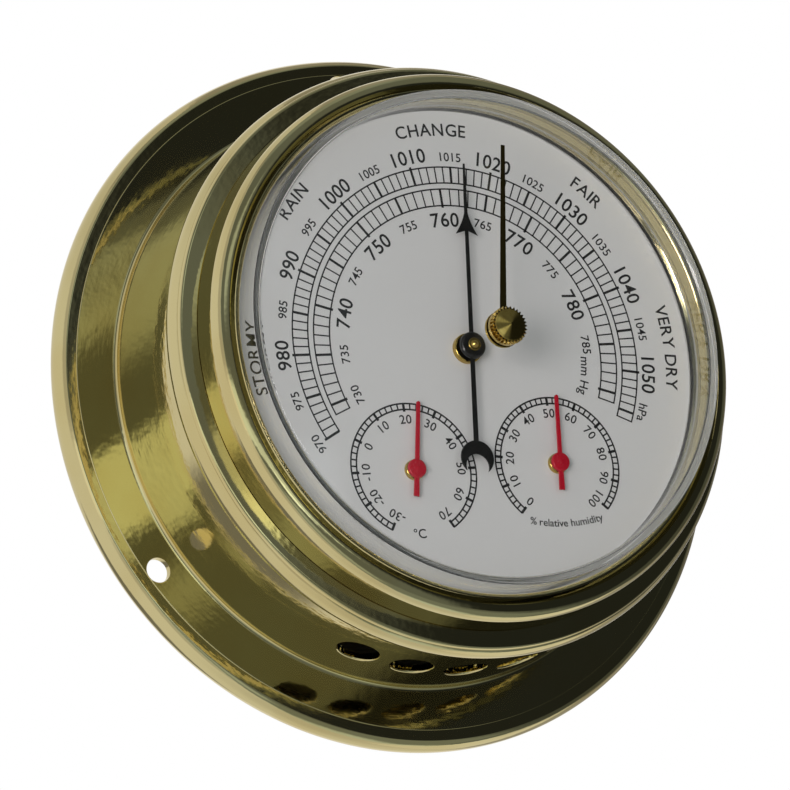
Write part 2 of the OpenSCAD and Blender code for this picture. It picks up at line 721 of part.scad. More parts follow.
// Round base plate of the movement
module movement_plate() {
    color("#b9a25a") hung() difference() {
        translate([0, 0, plate_h]) cylinder(r = plate_r, h = plate_t, $fn = 120);
        for (s = [-1, 1]) translate([s * sub_x, -sub_y, plate_h - cut]) cylinder(r = 9, h = plate_t + 2 * cut);
        at_pillars() translate([0, 0, plate_h - cut]) cylinder(r = stud_r + fit, h = plate_t + 2 * cut);
        for (p = screw_spots) translate([p[0], p[1], plate_h - cut])
            cylinder(r = stud_r + fit, h = plate_t + 2 * cut);
        translate([bend_x, capsule_y, plate_h - cut]) cylinder(r = 1.4 + run_fit, h = plate_t + 2 * cut);
    }
}

module movement_pillars() {
    depth = 6;
    color("#c2a14a") hung() at_pillars() difference() {
        translate([0, 0, plate_top]) cylinder(d = pillar_d, h = bridge_h - plate_top);
        translate([0, 0, plate_top - cut]) cylinder(r = stud_r + fit, h = depth + cut);
        translate([0, 0, bridge_h - depth]) cylinder(r = stud_r + fit, h = depth + cut);
    }
}

module pillar_screws() {
    color("#8f8f8a") hung() at_pillars() translate([0, 0, plate_h]) screw(2.2, 1.4, stud_r, plate_t + 5);
}

// Three-armed bridge behind the dial, with the front bearings of the train
module bridge_plate() {
    arm_w = 9;
    color("#b9a25a") hung() difference() {
        translate([0, 0, bridge_h]) linear_extrude(bridge_t) {
            for (a = pillar_angles) rotate([0, 0, a]) {
                translate([0, -arm_w / 2]) square([pillar_circle_r, arm_w]);
                translate([pillar_circle_r, 0]) circle(d = arm_w);
            }
            translate([-11, -4]) square([22, sector_y + 9]);
        }
        translate([0, 0, bridge_h - cut]) cylinder(r = arbor_r + run_fit, h = bridge_t + 2 * cut);
        translate([0, sector_y, bridge_h - cut]) cylinder(r = pivot_r + run_fit, h = bridge_t + 2 * cut);
        at_pillars() translate([0, 0, bridge_h - cut]) cylinder(r = stud_r + fit, h = bridge_t + 2 * cut);
        for (p = spacer_spots) translate([p[0], p[1], bridge_h - cut])
            cylinder(r = 0.9 + fit, h = bridge_t + 2 * cut);
    }
}

// Small plate with the rear bearings of the train
module gear_plate() {
    color("#b9a25a") hung() difference() {
        translate([0, 0, gear_plate_h]) union() {
            translate([-3, -9.5, 0]) cube([6, sector_y + 13, gear_plate_t]);
            translate([-11.5, sector_y, 0]) cube([23, 6, gear_plate_t]);
        }
        for (y = [0, sector_y]) translate([0, y, gear_plate_h - cut])
            cylinder(r = pivot_r + run_fit, h = gear_plate_t + 2 * cut);
        for (p = spacer_spots) translate([p[0], p[1], gear_plate_h - cut])
            cylinder(r = 0.8 + fit, h = gear_plate_t + 2 * cut);
    }
}

module gear_plate_spacers() {
    color("#c2a14a") hung() for (p = spacer_spots) translate([p[0], p[1], 0]) difference() {
        union() {
            translate([0, 0, train_h]) cylinder(r = spacer_r, h = gear_room);
            translate([0, 0, bridge_h - 0.1]) cylinder(r = 0.9, h = bridge_t + 0.1);
        }
        translate([0, 0, train_h - cut]) cylinder(r = 0.8 + fit, h = 3.5 + cut);
    }
}

module gear_plate_screws() {
    color("#8f8f8a") hung() for (p = spacer_spots) translate([p[0], p[1], gear_plate_h])
        screw(1.8, 0.8, 0.8, gear_plate_t + 3);
}

// Screw in the plate that lifts the heel of the main spring
module calibration_screw() {
    color("#8f8f8a") hung() translate([bend_x, capsule_y, plate_h - 0.1])
        screw(2.6, 1.8, 1.4, plate_t);
}

// THERMOMETER AND HYGROMETER, one on each side

function small_tube_r() = small_arbor_r + 0.9;

module at_scale(side) {
    hung() translate([side * sub_x, -sub_y, 0]) children();
}

// Red hand, pointing up before it is turned to its reading
module small_hand(side, turn) {
    tail = 5;
    color("#b3202c") at_scale(side) rotate([0, 0, -turn]) difference() {
        union() {
            translate([0, 0, small_hand_h]) linear_extrude(hand_t) {
                polygon([[0.33, small_reach - 0.3], [0.4, 0], [0.5, -tail], [-0.5, -tail], [-0.4, 0],
                    [-0.33, small_reach - 0.3]]);
                translate([0, small_reach - 0.33]) circle(r = 0.33);
            }
            translate([0, 0, small_hand_h]) rotate_extrude() polygon(concat(
                [[0, 0], [small_hub_d / 2, 0]], arc([small_hub_d / 2 - 0.3, 0.25], 0.3, 0, 90, 4), [[0, 0.62]]));
        }
        translate([0, 0, small_hand_h - cut]) cylinder(r = small_arbor_r + 0.01, h = cut + 0.4);
    }
}

module small_arbor(side) {
    rear = cock_h + 0.1;
    color("#9a9a98") at_scale(side) translate([0, 0, rear])
        cylinder(r = small_arbor_r, h = small_hand_h + 0.38 - rear);
}

module small_boss(side) {
    color("#a98c42") at_scale(side) difference() {
        union() {
            translate([0, 0, dial_h]) rotate_extrude() polygon(concat(
                [[0, 0], [small_hub_d / 2 + 0.1, 0]],
                arc([small_hub_d / 2 - 0.2, small_boss_t - 0.3], 0.3, 0, 90, 4), [[0, small_boss_t]]));
            translate([0, 0, dial_back - 0.6]) cylinder(r = small_tube_r(), h = dial_t + 0.7);
        }
        translate([0, 0, dial_back - 2]) cylinder(r = small_arbor_r + run_fit, h = dial_t + 5);
    }
}

module small_coil(side) {
    at_scale(side) translate([0, 0, coil_h]) linear_extrude(coil_len)
        spiral(collet_r + gap + coil_strip / 2, coil_d / 2 - coil_strip / 2, coil_turns, coil_strip);
}

module small_collet(side) {
    color("#c2a14a") at_scale(side) tube(collet_r, small_arbor_r + 0.01, coil_h, coil_h + coil_len);
}

// Bridge on the dial's back: rear bearing of the arbor and anchor of the coil's outer end
module small_cock(side) {
    anchor_r = 0.6;
    cock_t = 1;
    color("#b9a25a") at_scale(side) difference() {
        union() {
            translate([-3.5, -cock_reach - 2, cock_h]) cube([7, 2 * cock_reach + 4, cock_t]);
            for (s = [-1, 1]) translate([0, s * cock_reach, cock_h]) cylinder(r = 1.3, h = dial_back - cock_h);
            translate([0, -1, cock_h]) cube([coil_d / 2 + gap + 2 * anchor_r, 2, cock_t]);
            translate([coil_d / 2 + gap + anchor_r, 0, cock_h])
                cylinder(r = anchor_r, h = coil_h + coil_len - cock_h);
        }
        translate([0, 0, cock_h - cut]) cylinder(r = small_arbor_r + run_fit, h = cock_t + 2 * cut);
    }
}

module thermometer_hand() { small_hand(-1, thermometer_turn); }
module thermometer_arbor() { small_arbor(-1); }
module thermometer_boss() { small_boss(-1); }
module thermometer_coil() { color("#8c7a52") small_coil(-1); }
module thermometer_collet() { small_collet(-1); }
module thermometer_cock() { small_cock(-1); }
module hygrometer_hand() { small_hand(1, hygrometer_turn); }
module hygrometer_arbor() { small_arbor(1); }
module hygrometer_boss() { small_boss(1); }
module hygrometer_coil() { color("#cfc8b0") small_coil(1); }
module hygrometer_collet() { small_collet(1); }
module hygrometer_cock() { small_cock(1); }

// SET POINTER

// the hung frame, moved down to the knob's axis
module at_set() {
    hung() translate([0, -set_drop, 0]) children();
}

// Knurled knob with a cone on its front
module set_knob() {
    r = knob_d / 2;
    depth = 0.34;
    ring = [for (i = [0 : 2 * knob_ridges - 1]) let (a = 180 * i / knob_ridges) (r - depth * (i % 2)) * [cos(a), sin(a)]];
    color("#b8964a") at_set() translate([0, 0, knob_h]) {
        difference() {
            union() {
                cylinder(r = r - 0.15, h = knob_collar_t);
                translate([0, 0, knob_collar_t - 0.05]) linear_extrude(knob_body_t + 0.05) polygon(ring);
                translate([0, 0, knob_collar_t + knob_body_t - 0.01]) rotate_extrude()
                    polygon([[0, 0], [r - 0.45, 0], [0.2, knob_cone_t], [0, knob_cone_t]]);
            }
            translate([0, 0, -cut]) cylinder(r = set_shaft_r + 0.01, h = cut + 1.6);
        }
    }
}

module set_hand() {
    color("#8d7436") at_set() rotate([0, 0, -set_turn]) difference() {
        translate([0, 0, set_hand_h]) linear_extrude(set_hand_t - 0.02) {
            circle(r = set_shaft_r + 1.1);
            translate([-set_hand_w / 2, 0]) square([set_hand_w, set_reach]);
        }
        translate([0, 0, set_hand_h - cut]) cylinder(r = set_shaft_r + 0.01, h = 3);
    }
}

module set_shaft() {
    color("#b8964a") at_set() translate([0, 0, clip_h - 0.3]) cylinder(r = set_shaft_r, h = knob_h + 1.5 - clip_h);
}

// Bush riveted in the crystal, in which the shaft turns
module set_bush() {
    flange_rise = 0.4;
    color("#8d7436") at_set() difference() {
        union() {
            translate([0, 0, apex_h]) cylinder(r = knob_d / 2 - 0.1, h = flange_rise);
            translate([0, 0, apex_h - crystal_t - 0.3]) cylinder(r = bush_r, h = crystal_t + 0.4);
        }
        translate([0, 0, clip_h]) cylinder(r = set_shaft_r + run_fit, h = crystal_t + 4);
    }
}

// Dished spring washer that gives the set pointer its drag
module set_washer() {
    washer_h = clip_h + 0.45;
    color("#9a9a98") at_set() rotate_extrude() polygon([[set_shaft_r + 0.1, washer_h], [2.2, washer_h + 0.25],
        [2.2, washer_h + 0.4], [set_shaft_r + 0.1, washer_h + 0.15]]);
}

module set_clip() {
    color("#8f8f8a") at_set() difference() {
        tube(2, set_shaft_r + 0.01, clip_h, clip_h + 0.4);
        translate([0, -0.5, clip_h - cut]) cube([3, 1, 3]);
    }
}

case_body();
rear_cover();
bezel_ring();
crystal();
crystal_gasket();
dial_plate();
dial_retaining_ring();
dial_feet();
barometer_boss();
barometer_hand();
hand_cap();
hand_arbor();
pinion();
hairspring();
hairspring_collet();
hairspring_stud();
sector_gear();
sector_arbor();
link_rod();
rocker_shaft();
rocker_bracket();
drop_link();
lever_arm();
capsule_post();
aneroid_capsule();
main_spring();
movement_screws();
movement_plate();
movement_pillars();
pillar_screws();
bridge_plate();
gear_plate();
gear_plate_spacers();
gear_plate_screws();
thermometer_hand();
thermometer_arbor();
thermometer_boss();
thermometer_coil();
thermometer_collet();
thermometer_cock();
hygrometer_hand();
hygrometer_arbor();
hygrometer_boss();
hygrometer_coil();
hygrometer_collet();
hygrometer_cock();
set_knob();
set_hand();
set_shaft();
set_bush();
set_washer();
set_clip();
calibration_screw();
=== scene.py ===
import math

import bmesh
import bpy
from bpy.props import FloatProperty, FloatVectorProperty, IntProperty, PointerProperty
from bpy.types import Operator, Panel, PropertyGroup
from mathutils import Matrix, Vector


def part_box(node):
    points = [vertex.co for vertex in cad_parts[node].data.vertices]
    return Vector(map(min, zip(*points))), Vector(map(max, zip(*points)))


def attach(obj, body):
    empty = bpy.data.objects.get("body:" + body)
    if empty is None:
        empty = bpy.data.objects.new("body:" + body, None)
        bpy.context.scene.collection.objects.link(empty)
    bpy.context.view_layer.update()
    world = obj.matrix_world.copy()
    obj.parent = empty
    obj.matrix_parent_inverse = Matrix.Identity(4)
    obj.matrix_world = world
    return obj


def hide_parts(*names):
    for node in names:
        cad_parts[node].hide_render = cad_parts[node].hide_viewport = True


bl_info = {
    "name": "Wall Weather Station",
    "version": (1, 0, 0),
    "blender": (4, 5, 0),
    "location": "3D View > Sidebar > Weather Station",
    "description": "Builds a spun brass barometer with thermometer and hygrometer on its construction frame",
    "category": "Object",
}

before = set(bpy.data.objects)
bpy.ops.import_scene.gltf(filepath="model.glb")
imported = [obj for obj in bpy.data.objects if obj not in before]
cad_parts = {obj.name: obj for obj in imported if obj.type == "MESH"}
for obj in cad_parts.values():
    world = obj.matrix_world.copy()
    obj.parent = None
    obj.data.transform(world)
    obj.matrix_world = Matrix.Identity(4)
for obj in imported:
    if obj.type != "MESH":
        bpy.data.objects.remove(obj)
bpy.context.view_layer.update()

MM = 0.001
# turns the flat working frame (x right, y up, z out from the wall) into the hung one
HUNG = Matrix.Rotation(math.pi / 2, 4, "X")

# the readings at rest, and the scales that they are read on
HAND_TURN = 7.425
SET_TURN = 10.125
THERMOMETER_TURN = 11.1
HYGROMETER_TURN = 6.48
DEG_PER_HPA = 2.7
TOP_HPA = 1013.25
HPA_PER_MMHG = 1.33322
DEG_PER_CELSIUS = 3.0
TOP_CELSIUS = 20
DEG_PER_PERCENT = 2.7
TOP_PERCENT = 50
# the five words of the weather round the dial, and their angles from the top
WEATHER = (("STORMY", -90), ("RAIN", -46), ("CHANGE", 0), ("FAIR", 46), ("VERY DRY", 91.5))
# the wall screws' and the vents' angles, clockwise from the top
SCREW_ANGLES = (0, 120, 240)
VENT_ANGLES = [180.7 + 11.3 * k for k in range(-2, 3)]
# the camera's focal length in millimetres, its place in metres, and its right, up and back directions
LENS = 349.65
CAMERA_PLACE = (-0.6128, -1.1690, -0.3150)
CAMERA_AXES = (0.8904, -0.4269, -0.1573), (0.0357, -0.2791, 0.9596), (-0.4536, -0.8601, -0.2333)


# Sizes and colours

def size(name, description, default):
    """A length in metres that a user may change."""
    return FloatProperty(name=name, description=description, default=default, min=0, unit="LENGTH",
                         precision=5)


def linear(code):
    """A colour's sRGB hex code as linear red, green, blue and alpha."""
    parts = [int(code[i:i + 2], 16) / 255 for i in (1, 3, 5)]
    return [p / 12.92 if p <= 0.04045 else ((p + 0.055) / 1.055) ** 2.4 for p in parts] + [1.0]


def finish_colour(name, description, code):
    """A colour that a user may change, given by its sRGB hex code."""
    return FloatVectorProperty(name=name, description=description, default=linear(code), size=4, min=0, max=1,
                               subtype="COLOR")


class CaseSizes(PropertyGroup):
    flange_radius: size("Flange radius", "Outer radius of the rolled rim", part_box("case_body")[1].x)
    flange_height: size("Flange height", "Height of the flange's outer edge from the wall", 5.2 * MM)
    flange_dip: size("Flange dip", "How much the flange dips towards the neck", 0.3 * MM)
    rim_roll: size("Rim roll", "Radius of the rim's round outer face", 3.5 * MM)
    rim_height: size("Rim height", "Height of the rim's widest point from the wall", 2.1 * MM)
    neck_radius: size("Neck radius", "Outer radius of the neck", 52.49 * MM)
    neck_fillet: size("Neck fillet", "Radius between flange and neck", 0.8 * MM)
    bead_out: size("Bead", "How far the bead stands out from the neck", 0.9 * MM)
    bead_curve: size("Bead curve", "Radius of the bead's curve", 3.0 * MM)
    height: size("Case height", "Height of the front ledge from the wall",
                 -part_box("case_body")[0].y - 0.3 * MM)
    ledge_rise: size("Ledge rise", "How much the ledge rises towards the bezel", 0.3 * MM)
    sheet: size("Sheet", "Thickness of the spun sheet", 1.4 * MM)
    screw_circle: size("Screw circle", "Radius of the circle of the wall screw holes", 57.69 * MM)
    screw_hole: size("Screw hole", "Diameter of each wall screw hole", 4.4 * MM)
    vent: size("Vent", "Diameter of each vent hole", 7.6 * MM)
    vent_height: size("Vent height", "Height of the vents' centres from the wall", 17.5 * MM)


class BezelSizes(PropertyGroup):
    radius: size("Bezel radius", "Outer radius of the bezel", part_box("bezel_ring")[1].x)
    top: size("Bezel top", "Height of the bezel's lip from the wall", -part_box("bezel_ring")[0].y)
    nose: size("Rounded edge", "Radius of the bezel's rounded front edge", 2.5 * MM)
    lip_radius: size("Lip radius", "Inner radius of the lip over the crystal's foot", 44.79 * MM)


class CrystalSizes(PropertyGroup):
    foot_radius: size("Foot radius", "Outer radius of the crystal's foot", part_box("crystal")[1].x)
    foot_height: size("Foot height", "Height of the crystal's foot from the wall", -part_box("crystal")[1].y)
    wall_radius: size("Wall radius", "Outer radius of the upright wall", 44.39 * MM)
    thickness: size("Thickness", "Thickness of the clear acrylic", 1.3 * MM)
    corner: size("Corner", "Radius of the front corner", 0.5 * MM)
    apex: size("Apex", "Height of the dome's middle from the wall", -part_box("crystal")[0].y)
    dome_rise: size("Dome rise", "How far the middle bulges past the corner", 4.5 * MM)
    hole: size("Hole", "Radius of the hole for the set pointer's bush", 1.34 * MM)


class DialSizes(PropertyGroup):
    front: size("Dial front", "Height of the dial's face from the wall", -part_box("dial_plate")[0].y)
    line: size("Line", "Width of the printed circles", 0.27 * MM)
    tick: size("Tick", "Width of the thin scale marks", 0.25 * MM)
    bold_tick: size("Bold tick", "Width of the bold scale marks", 0.45 * MM)
    sub_x: size("Small scale, sideways", "Distance of the small scales' centres from the middle", 13.9 * MM)
    sub_y: size("Small scale, down", "Distance of the small scales' centres below the middle", 21.1 * MM)


class HandSizes(PropertyGroup):
    height: size("Hand height", "Height of the barometer hand from the wall", 37.6 * MM)
    thickness: size("Hand thickness", "Thickness of the hands", 0.35 * MM)
    reach: size("Reach", "Length of the barometer hand from the middle", 33.1 * MM)
    hub: size("Hub", "Radius of the barometer hand's hub", 2.4 * MM)
    eyelet: size("Eyelet", "Radius of the eyelet under the barometer hand", 2.65 * MM)
    small_height: size("Small hand height", "Height of the red hands from the wall", 36.5 * MM)
    small_reach: size("Small reach", "Length of the red hands", 12.1 * MM)
    small_hub: size("Small hub", "Radius of the red hands' hubs", 1.7 * MM)


class SetPointerSizes(PropertyGroup):
    knob: size("Knob", "Radius of the knurled knob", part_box("set_knob")[1].x)
    knob_height: size("Knob height", "Height of the knob's back from the wall", -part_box("set_knob")[1].y)
    drop: size("Drop", "How far the knob's axis sits below the dial's middle", 0.6 * MM)
    reach: size("Reach", "Length of the set pointer", 33.5 * MM)
    width: size("Width", "Width of the set pointer at the knob", 1.3 * MM)
    ridges: IntProperty(name="Ridges", description="Number of ridges round the knob", default=30, min=8)


class Finishes(PropertyGroup):
    brass: finish_colour("Brass", "Polished brass of case and bezel", "#E1D49C")
    dark_brass: finish_colour("Dark brass", "Brass of pointer, bush and bosses", "#C9AE62")
    dial: finish_colour("Dial", "White paint of the dial", "#E4E4E2")
    ink: finish_colour("Ink", "Black print on the dial", "#1B1B1A")
    hand: finish_colour("Hand", "Black paint of the barometer hand", "#141412")
    red: finish_colour("Red", "Red paint of the small hands", "#C3142B")
    floor: finish_colour("Floor", "Pale floor of the studio", "#D9D9D6")


# Materials

def add(tree, kind, inputs=None, **settings):
    """Adds a shader node, sets its properties, and fills its inputs with values, nodes or nodes' outputs."""
    made = tree.nodes.new("ShaderNode" + kind)
    for key, value in settings.items():
        setattr(made, key, value)
    for key, value in (inputs or {}).items():
        if isinstance(value, bpy.types.Node):
            value = value.outputs[0]
        if isinstance(value, bpy.types.NodeSocket):
            tree.links.new(value, made.inputs[key])
        else:
            made.inputs[key].default_value = value
    return made


def started(name, **inputs):
    """A new material with one Principled shader, whose inputs are given with underscores for spaces."""
    mat = bpy.data.materials.get(name)
    if mat is not None:
        return mat, None, None
    mat = bpy.data.materials.new(name)
    mat.use_nodes = True
    tree = mat.node_tree
    tree.nodes.clear()
    shader = add(tree, "BsdfPrincipled", {k.replace("_", " "): v for k, v in inputs.items()})
    add(tree, "OutputMaterial", {"Surface": shader})
    return mat, tree, shader


def uneven(tree, shader, pattern, roughness, colours, span=(0.3, 0.7), tint_span=None):
    """Lets a pattern vary the surface: roughness and colour go from the first to the second over its span."""
    low, high = span
    sheen = add(tree, "MapRange", {0: pattern, 1: low, 2: high, 3: roughness[0], 4: roughness[1]})
    low, high = tint_span or span
    share = add(tree, "MapRange", {0: pattern, 1: low, 2: high})
    tint = add(tree, "Mix", {0: share, 6: colours[0], 7: colours[1]}, data_type="RGBA")
    tree.links.new(sheen.outputs[0], shader.inputs["Roughness"])
    tree.links.new(tint.outputs[2], shader.inputs["Base Color"])


def raised(tree, shader, pattern, strength, depth, under=None):
    """Lets a pattern roughen the surface, over the relief that is under it."""
    relief = add(tree, "Bump", {"Strength": strength, "Distance": depth, "Height": pattern})
    if under is not None:
        tree.links.new(under.outputs[0], relief.inputs["Normal"])
    tree.links.new(relief.outputs[0], shader.inputs["Normal"])
    return relief


def shaded(colour, *shares):
    """A colour with each channel taken down to a share of it."""
    shares = shares if len(shares) == 3 else shares * 3
    return [c * share for c, share in zip(colour, shares)] + [1]


def lathe_coordinates(tree, across, around):
    """Coordinates for marks left by spinning: short across the tool's path, long round the dial's axis.
    across is the marks' spacing in metres, around the number of them in one turn, over two pi."""
    place = add(tree, "TexCoord").outputs["Object"]
    flat = add(tree, "VectorMath", {0: place, 1: (1, 0, 1)}, operation="MULTIPLY")
    radius = add(tree, "VectorMath", {0: flat}, operation="LENGTH").outputs["Value"]
    turn = add(tree, "VectorMath", {0: flat}, operation="NORMALIZE")
    turn = add(tree, "VectorMath", {0: turn, 3: around}, operation="SCALE")
    turn = add(tree, "SeparateXYZ", {0: turn})
    depth = add(tree, "SeparateXYZ", {0: place}).outputs[1]
    path = add(tree, "Math", {0: radius, 1: depth}, operation="SUBTRACT")
    path = add(tree, "Math", {0: path, 1: across}, operation="DIVIDE")
    return add(tree, "CombineXYZ", {0: turn.outputs[0], 1: path, 2: turn.outputs[2]})


def spun_brass(colour):
    """Polished, lacquered brass sheet, spun over a form: mirror bright, with a faint ripple along the tool's
    path that breaks the edges of what it reflects, and a trace of haze."""
    mat, tree, shader = started("spun_polished_brass", Metallic=1.0, Roughness=0.07, Base_Color=colour)
    if tree is None:
        return mat
    path = lathe_coordinates(tree, 0.9 * MM, 13)
    ripple = add(tree, "TexNoise", {"Vector": path, "Scale": 1.0, "Detail": 2.0, "Roughness": 0.5})
    place = add(tree, "TexCoord").outputs["Object"]
    peel = add(tree, "TexNoise", {"Vector": place, "Scale": 1 / (1.5 * MM), "Detail": 1.0})
    under = raised(tree, shader, ripple, 0.25, 0.04 * MM)
    raised(tree, shader, peel, 0.4, 0.04 * MM, under)
    # handling haze, in soft patches some centimetres wide
    haze = add(tree, "TexNoise", {"Vector": place, "Scale": 1 / (18 * MM), "Detail": 3.0})
    tones = (colour, shaded(colour, 0.93, 0.88, 0.78))
    uneven(tree, shader, haze, (0.045, 0.11), tones, (0.35, 0.7), (0.4, 0.75))
    return mat


def turned_brass(colour):
    """Small brass parts off the lathe: bright, with fine tool rings that spread the highlights along the
    radius."""
    mat, tree, shader = started("turned_brass", Metallic=1.0, Roughness=0.2, Base_Color=colour)
    if tree is None:
        return mat
    path = lathe_coordinates(tree, 0.16 * MM, 2)
    rings = add(tree, "TexNoise", {"Vector": path, "Scale": 1.0, "Detail": 2.0})
    raised(tree, shader, rings, 0.15, 0.02 * MM)
    uneven(tree, shader, rings, (0.08, 0.17), (colour, shaded(colour, 0.8, 0.76, 0.66)))
    return mat


def brushed_metal(name, code, dark, roughness, grain):
    """Sheet or bar metal with a straight brushed grain, its spacing in millimetres: soft streaks of light
    across the grain."""
    colour = linear(code)
    mat, tree, shader = started(name, Metallic=1.0, Roughness=roughness, Base_Color=colour)
    if tree is None:
        return mat
    place = add(tree, "TexCoord").outputs["Object"]
    fine = 1 / (grain * MM)
    stretched = add(tree, "Mapping", {0: place, 3: (1 / (12 * MM), fine, fine)})
    streaks = add(tree, "TexNoise", {"Vector": stretched, "Scale": 1.0, "Detail": 3.0})
    raised(tree, shader, streaks, 0.2, 0.02 * MM)
    uneven(tree, shader, streaks, (roughness * 0.75, roughness * 1.35), (colour, linear(dark)))
    return mat


def enamel(name, colour, roughness, grain, depth, shade=0.94):
    """Sprayed paint or enamel: even colour with the fine pebble of the spray and a slightly uneven sheen."""
    mat, tree, shader = started(name, Roughness=roughness, IOR=1.5, Base_Color=colour)
    if tree is None:
        return mat
    place = add(tree, "TexCoord").outputs["Object"]
    spray = add(tree, "TexNoise", {"Vector": place, "Scale": 1 / grain, "Detail": 3.0})
    raised(tree, shader, spray, 0.3, depth)
    sheen = (roughness * 0.85, min(1.0, roughness * 1.2))
    uneven(tree, shader, spray, sheen, (colour, shaded(colour, shade)))
    return mat


def clear_acrylic():
    """Moulded clear acrylic: sharp reflections, a slight bend of what is behind it, and faint waves from the
    mould."""
    mat, tree, shader = started("clear_acrylic", Roughness=0.0, IOR=1.49, Transmission_Weight=1.0,
                                Base_Color=(1, 1, 1, 1))
    if tree is None:
        return mat
    place = add(tree, "TexCoord").outputs["Object"]
    waves = add(tree, "TexNoise", {"Vector": place, "Scale": 1 / (14 * MM), "Detail": 1.0})
    raised(tree, shader, waves, 0.05, 0.02 * MM)
    # lamps light the dial through the crystal
    path = add(tree, "LightPath").outputs
    through = add(tree, "Math", {0: path["Is Shadow Ray"], 1: path["Is Diffuse Ray"]}, operation="MAXIMUM")
    clear = add(tree, "BsdfTransparent", {"Color": (0.96, 0.97, 0.97, 1)})
    output = next(n for n in tree.nodes if n.type == "OUTPUT_MATERIAL")
    both = add(tree, "MixShader", {0: through, 1: shader, 2: clear})
    tree.links.new(both.outputs[0], output.inputs["Surface"])
    return mat


# Modelling helpers

def last_vertex(made):
    """The vertex at which a spin of one vertex ended."""
    return next(g for g in made["geom_last"] if isinstance(g, bmesh.types.BMVert))


def outline(bm, path, closed=True):
    """Draws the outline of a turned piece, in metres. (r, h) is a straight run to radius r and height h from
    the wall, and (r, h, degrees, steps) an arc from the last point round that centre."""
    first = at = None
    for step in path:
        if len(step) == 4:
            r, h, degrees, steps = step
            at = last_vertex(bmesh.ops.spin(bm, geom=[at], cent=(r, -h, 0), axis=(0, 0, 1),
                                            angle=-math.radians(degrees), steps=steps))
        else:
            new = bm.verts.new((step[0], -step[1], 0))
            if at is not None:
                bm.edges.new((at, new))
            at = new
        first = first or at
    if closed:
        bm.edges.new((at, first))


def turned(name, path, steps=256, closed=True, place=None):
    """A piece turned on the lathe: its outline spun once round the dial's axis."""
    bm = bmesh.new()
    outline(bm, path, closed)
    bmesh.ops.spin(bm, geom=bm.verts[:] + bm.edges[:], cent=(0, 0, 0), axis=(0, 1, 0), angle=math.tau,
                   steps=steps, use_merge=True)
    bmesh.ops.remove_doubles(bm, verts=bm.verts[:], dist=1e-7)
    bmesh.ops.dissolve_degenerate(bm, edges=bm.edges[:], dist=1e-8)
    if place is not None:
        bmesh.ops.transform(bm, matrix=place, verts=bm.verts[:])
    return piece(name, bm)


def put(name, data):
    """A new object in the scene."""
    obj = bpy.data.objects.new(name, data)
    bpy.context.scene.collection.objects.link(obj)
    return obj


def piece(name, bm):
    """A mesh object from bm, with outward faces."""
    bmesh.ops.recalc_face_normals(bm, faces=bm.faces[:])
    mesh = bpy.data.meshes.new(name)
    bm.to_mesh(mesh)
    bm.free()
    return put(name, mesh)


def solid_mesh(obj):
    """The mesh that an object has once its modifiers, or its letters' thickness, are worked out."""
    bpy.context.view_layer.update()
    return bpy.data.meshes.new_from_object(obj.evaluated_get(bpy.context.evaluated_depsgraph_get()))


def bored(obj, cutters):
    """Cuts the cutters out of obj, and removes them."""
    for cutter in cutters:
        tool = obj.modifiers.new(cutter.name, "BOOLEAN")
        tool.operation = "DIFFERENCE"
        tool.solver = "EXACT"
        tool.object = cutter
    solid = solid_mesh(obj)
    obj.modifiers.clear()
    name = obj.data.name
    obj.data = solid
    solid.name = name
    for cutter in cutters:
        bpy.data.objects.remove(cutter)
    return obj


def drill(name, radius, depth, rounding, matrix):
    """A drill for one hole with a rounded mouth. It points along z, with the mouth at z = 0."""
    wide = radius + rounding
    shank = [(0, -depth), (radius, -depth), (radius, -rounding)]
    mouth = [(wide, -rounding, -90, 5), (wide, depth), (0, depth)]
    return turned(name, shank + mouth, steps=64, closed=False, place=matrix @ HUNG.inverted())


def settle(obj, body, slot, mat, *nodes):
    """Gives a finished piece smooth faces with sharp edges over 30 degrees, its material, its body, and the
    CAD nodes that it stands for."""
    obj.data.shade_smooth()
    obj.data.set_sharp_from_angle(angle=math.radians(30))
    weighted = obj.modifiers.new("weighted_normals", "WEIGHTED_NORMAL")
    weighted.keep_sharp = True
    obj.data.materials.clear()
    obj.data.materials.append(mat)
    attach(obj, body)
    if nodes:
        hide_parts(*nodes)
    return obj


def finish(node, mat):
    """Gives a construction part, which keeps its own shape, its material."""
    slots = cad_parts[node].data.materials
    slots.clear()
    slots.append(mat)


def plate(bm, height, thickness, bevel, matrix):
    """Raises the flat outline in bm, from height to height + thickness, and eases its front edges."""
    face = bmesh.ops.contextual_create(bm, geom=bm.edges[:])["faces"]
    made = bmesh.ops.extrude_face_region(bm, geom=face)["geom"]
    top = [g for g in made if isinstance(g, bmesh.types.BMVert)]
    bmesh.ops.translate(bm, vec=(0, 0, thickness), verts=top)
    rim = [e for e in bm.edges if all(v in top for v in e.verts)]
    bmesh.ops.bevel(bm, geom=rim, offset=bevel, offset_type="OFFSET", segments=2, profile=0.5, affect="EDGES",
                    material=-1, clamp_overlap=True)
    bmesh.ops.translate(bm, vec=(0, 0, height), verts=bm.verts[:])
    bmesh.ops.transform(bm, matrix=matrix, verts=bm.verts[:])


def joined(name, parts):
    """One object from several, which are removed."""
    bm = bmesh.new()
    for part in parts:
        bm.from_mesh(part.data)
        bpy.data.objects.remove(part)
    return piece(name, bm)


def clockwise(degrees):
    """A turn on the dial, clockwise as seen."""
    return Matrix.Rotation(-math.radians(degrees), 4, "Z")


def spot(x, y):
    """A place on the dial's plane."""
    return Matrix.Translation((x, y, 0))


# Case

def brass():
    return spun_brass(list(bpy.context.scene.station_finishes.brass))


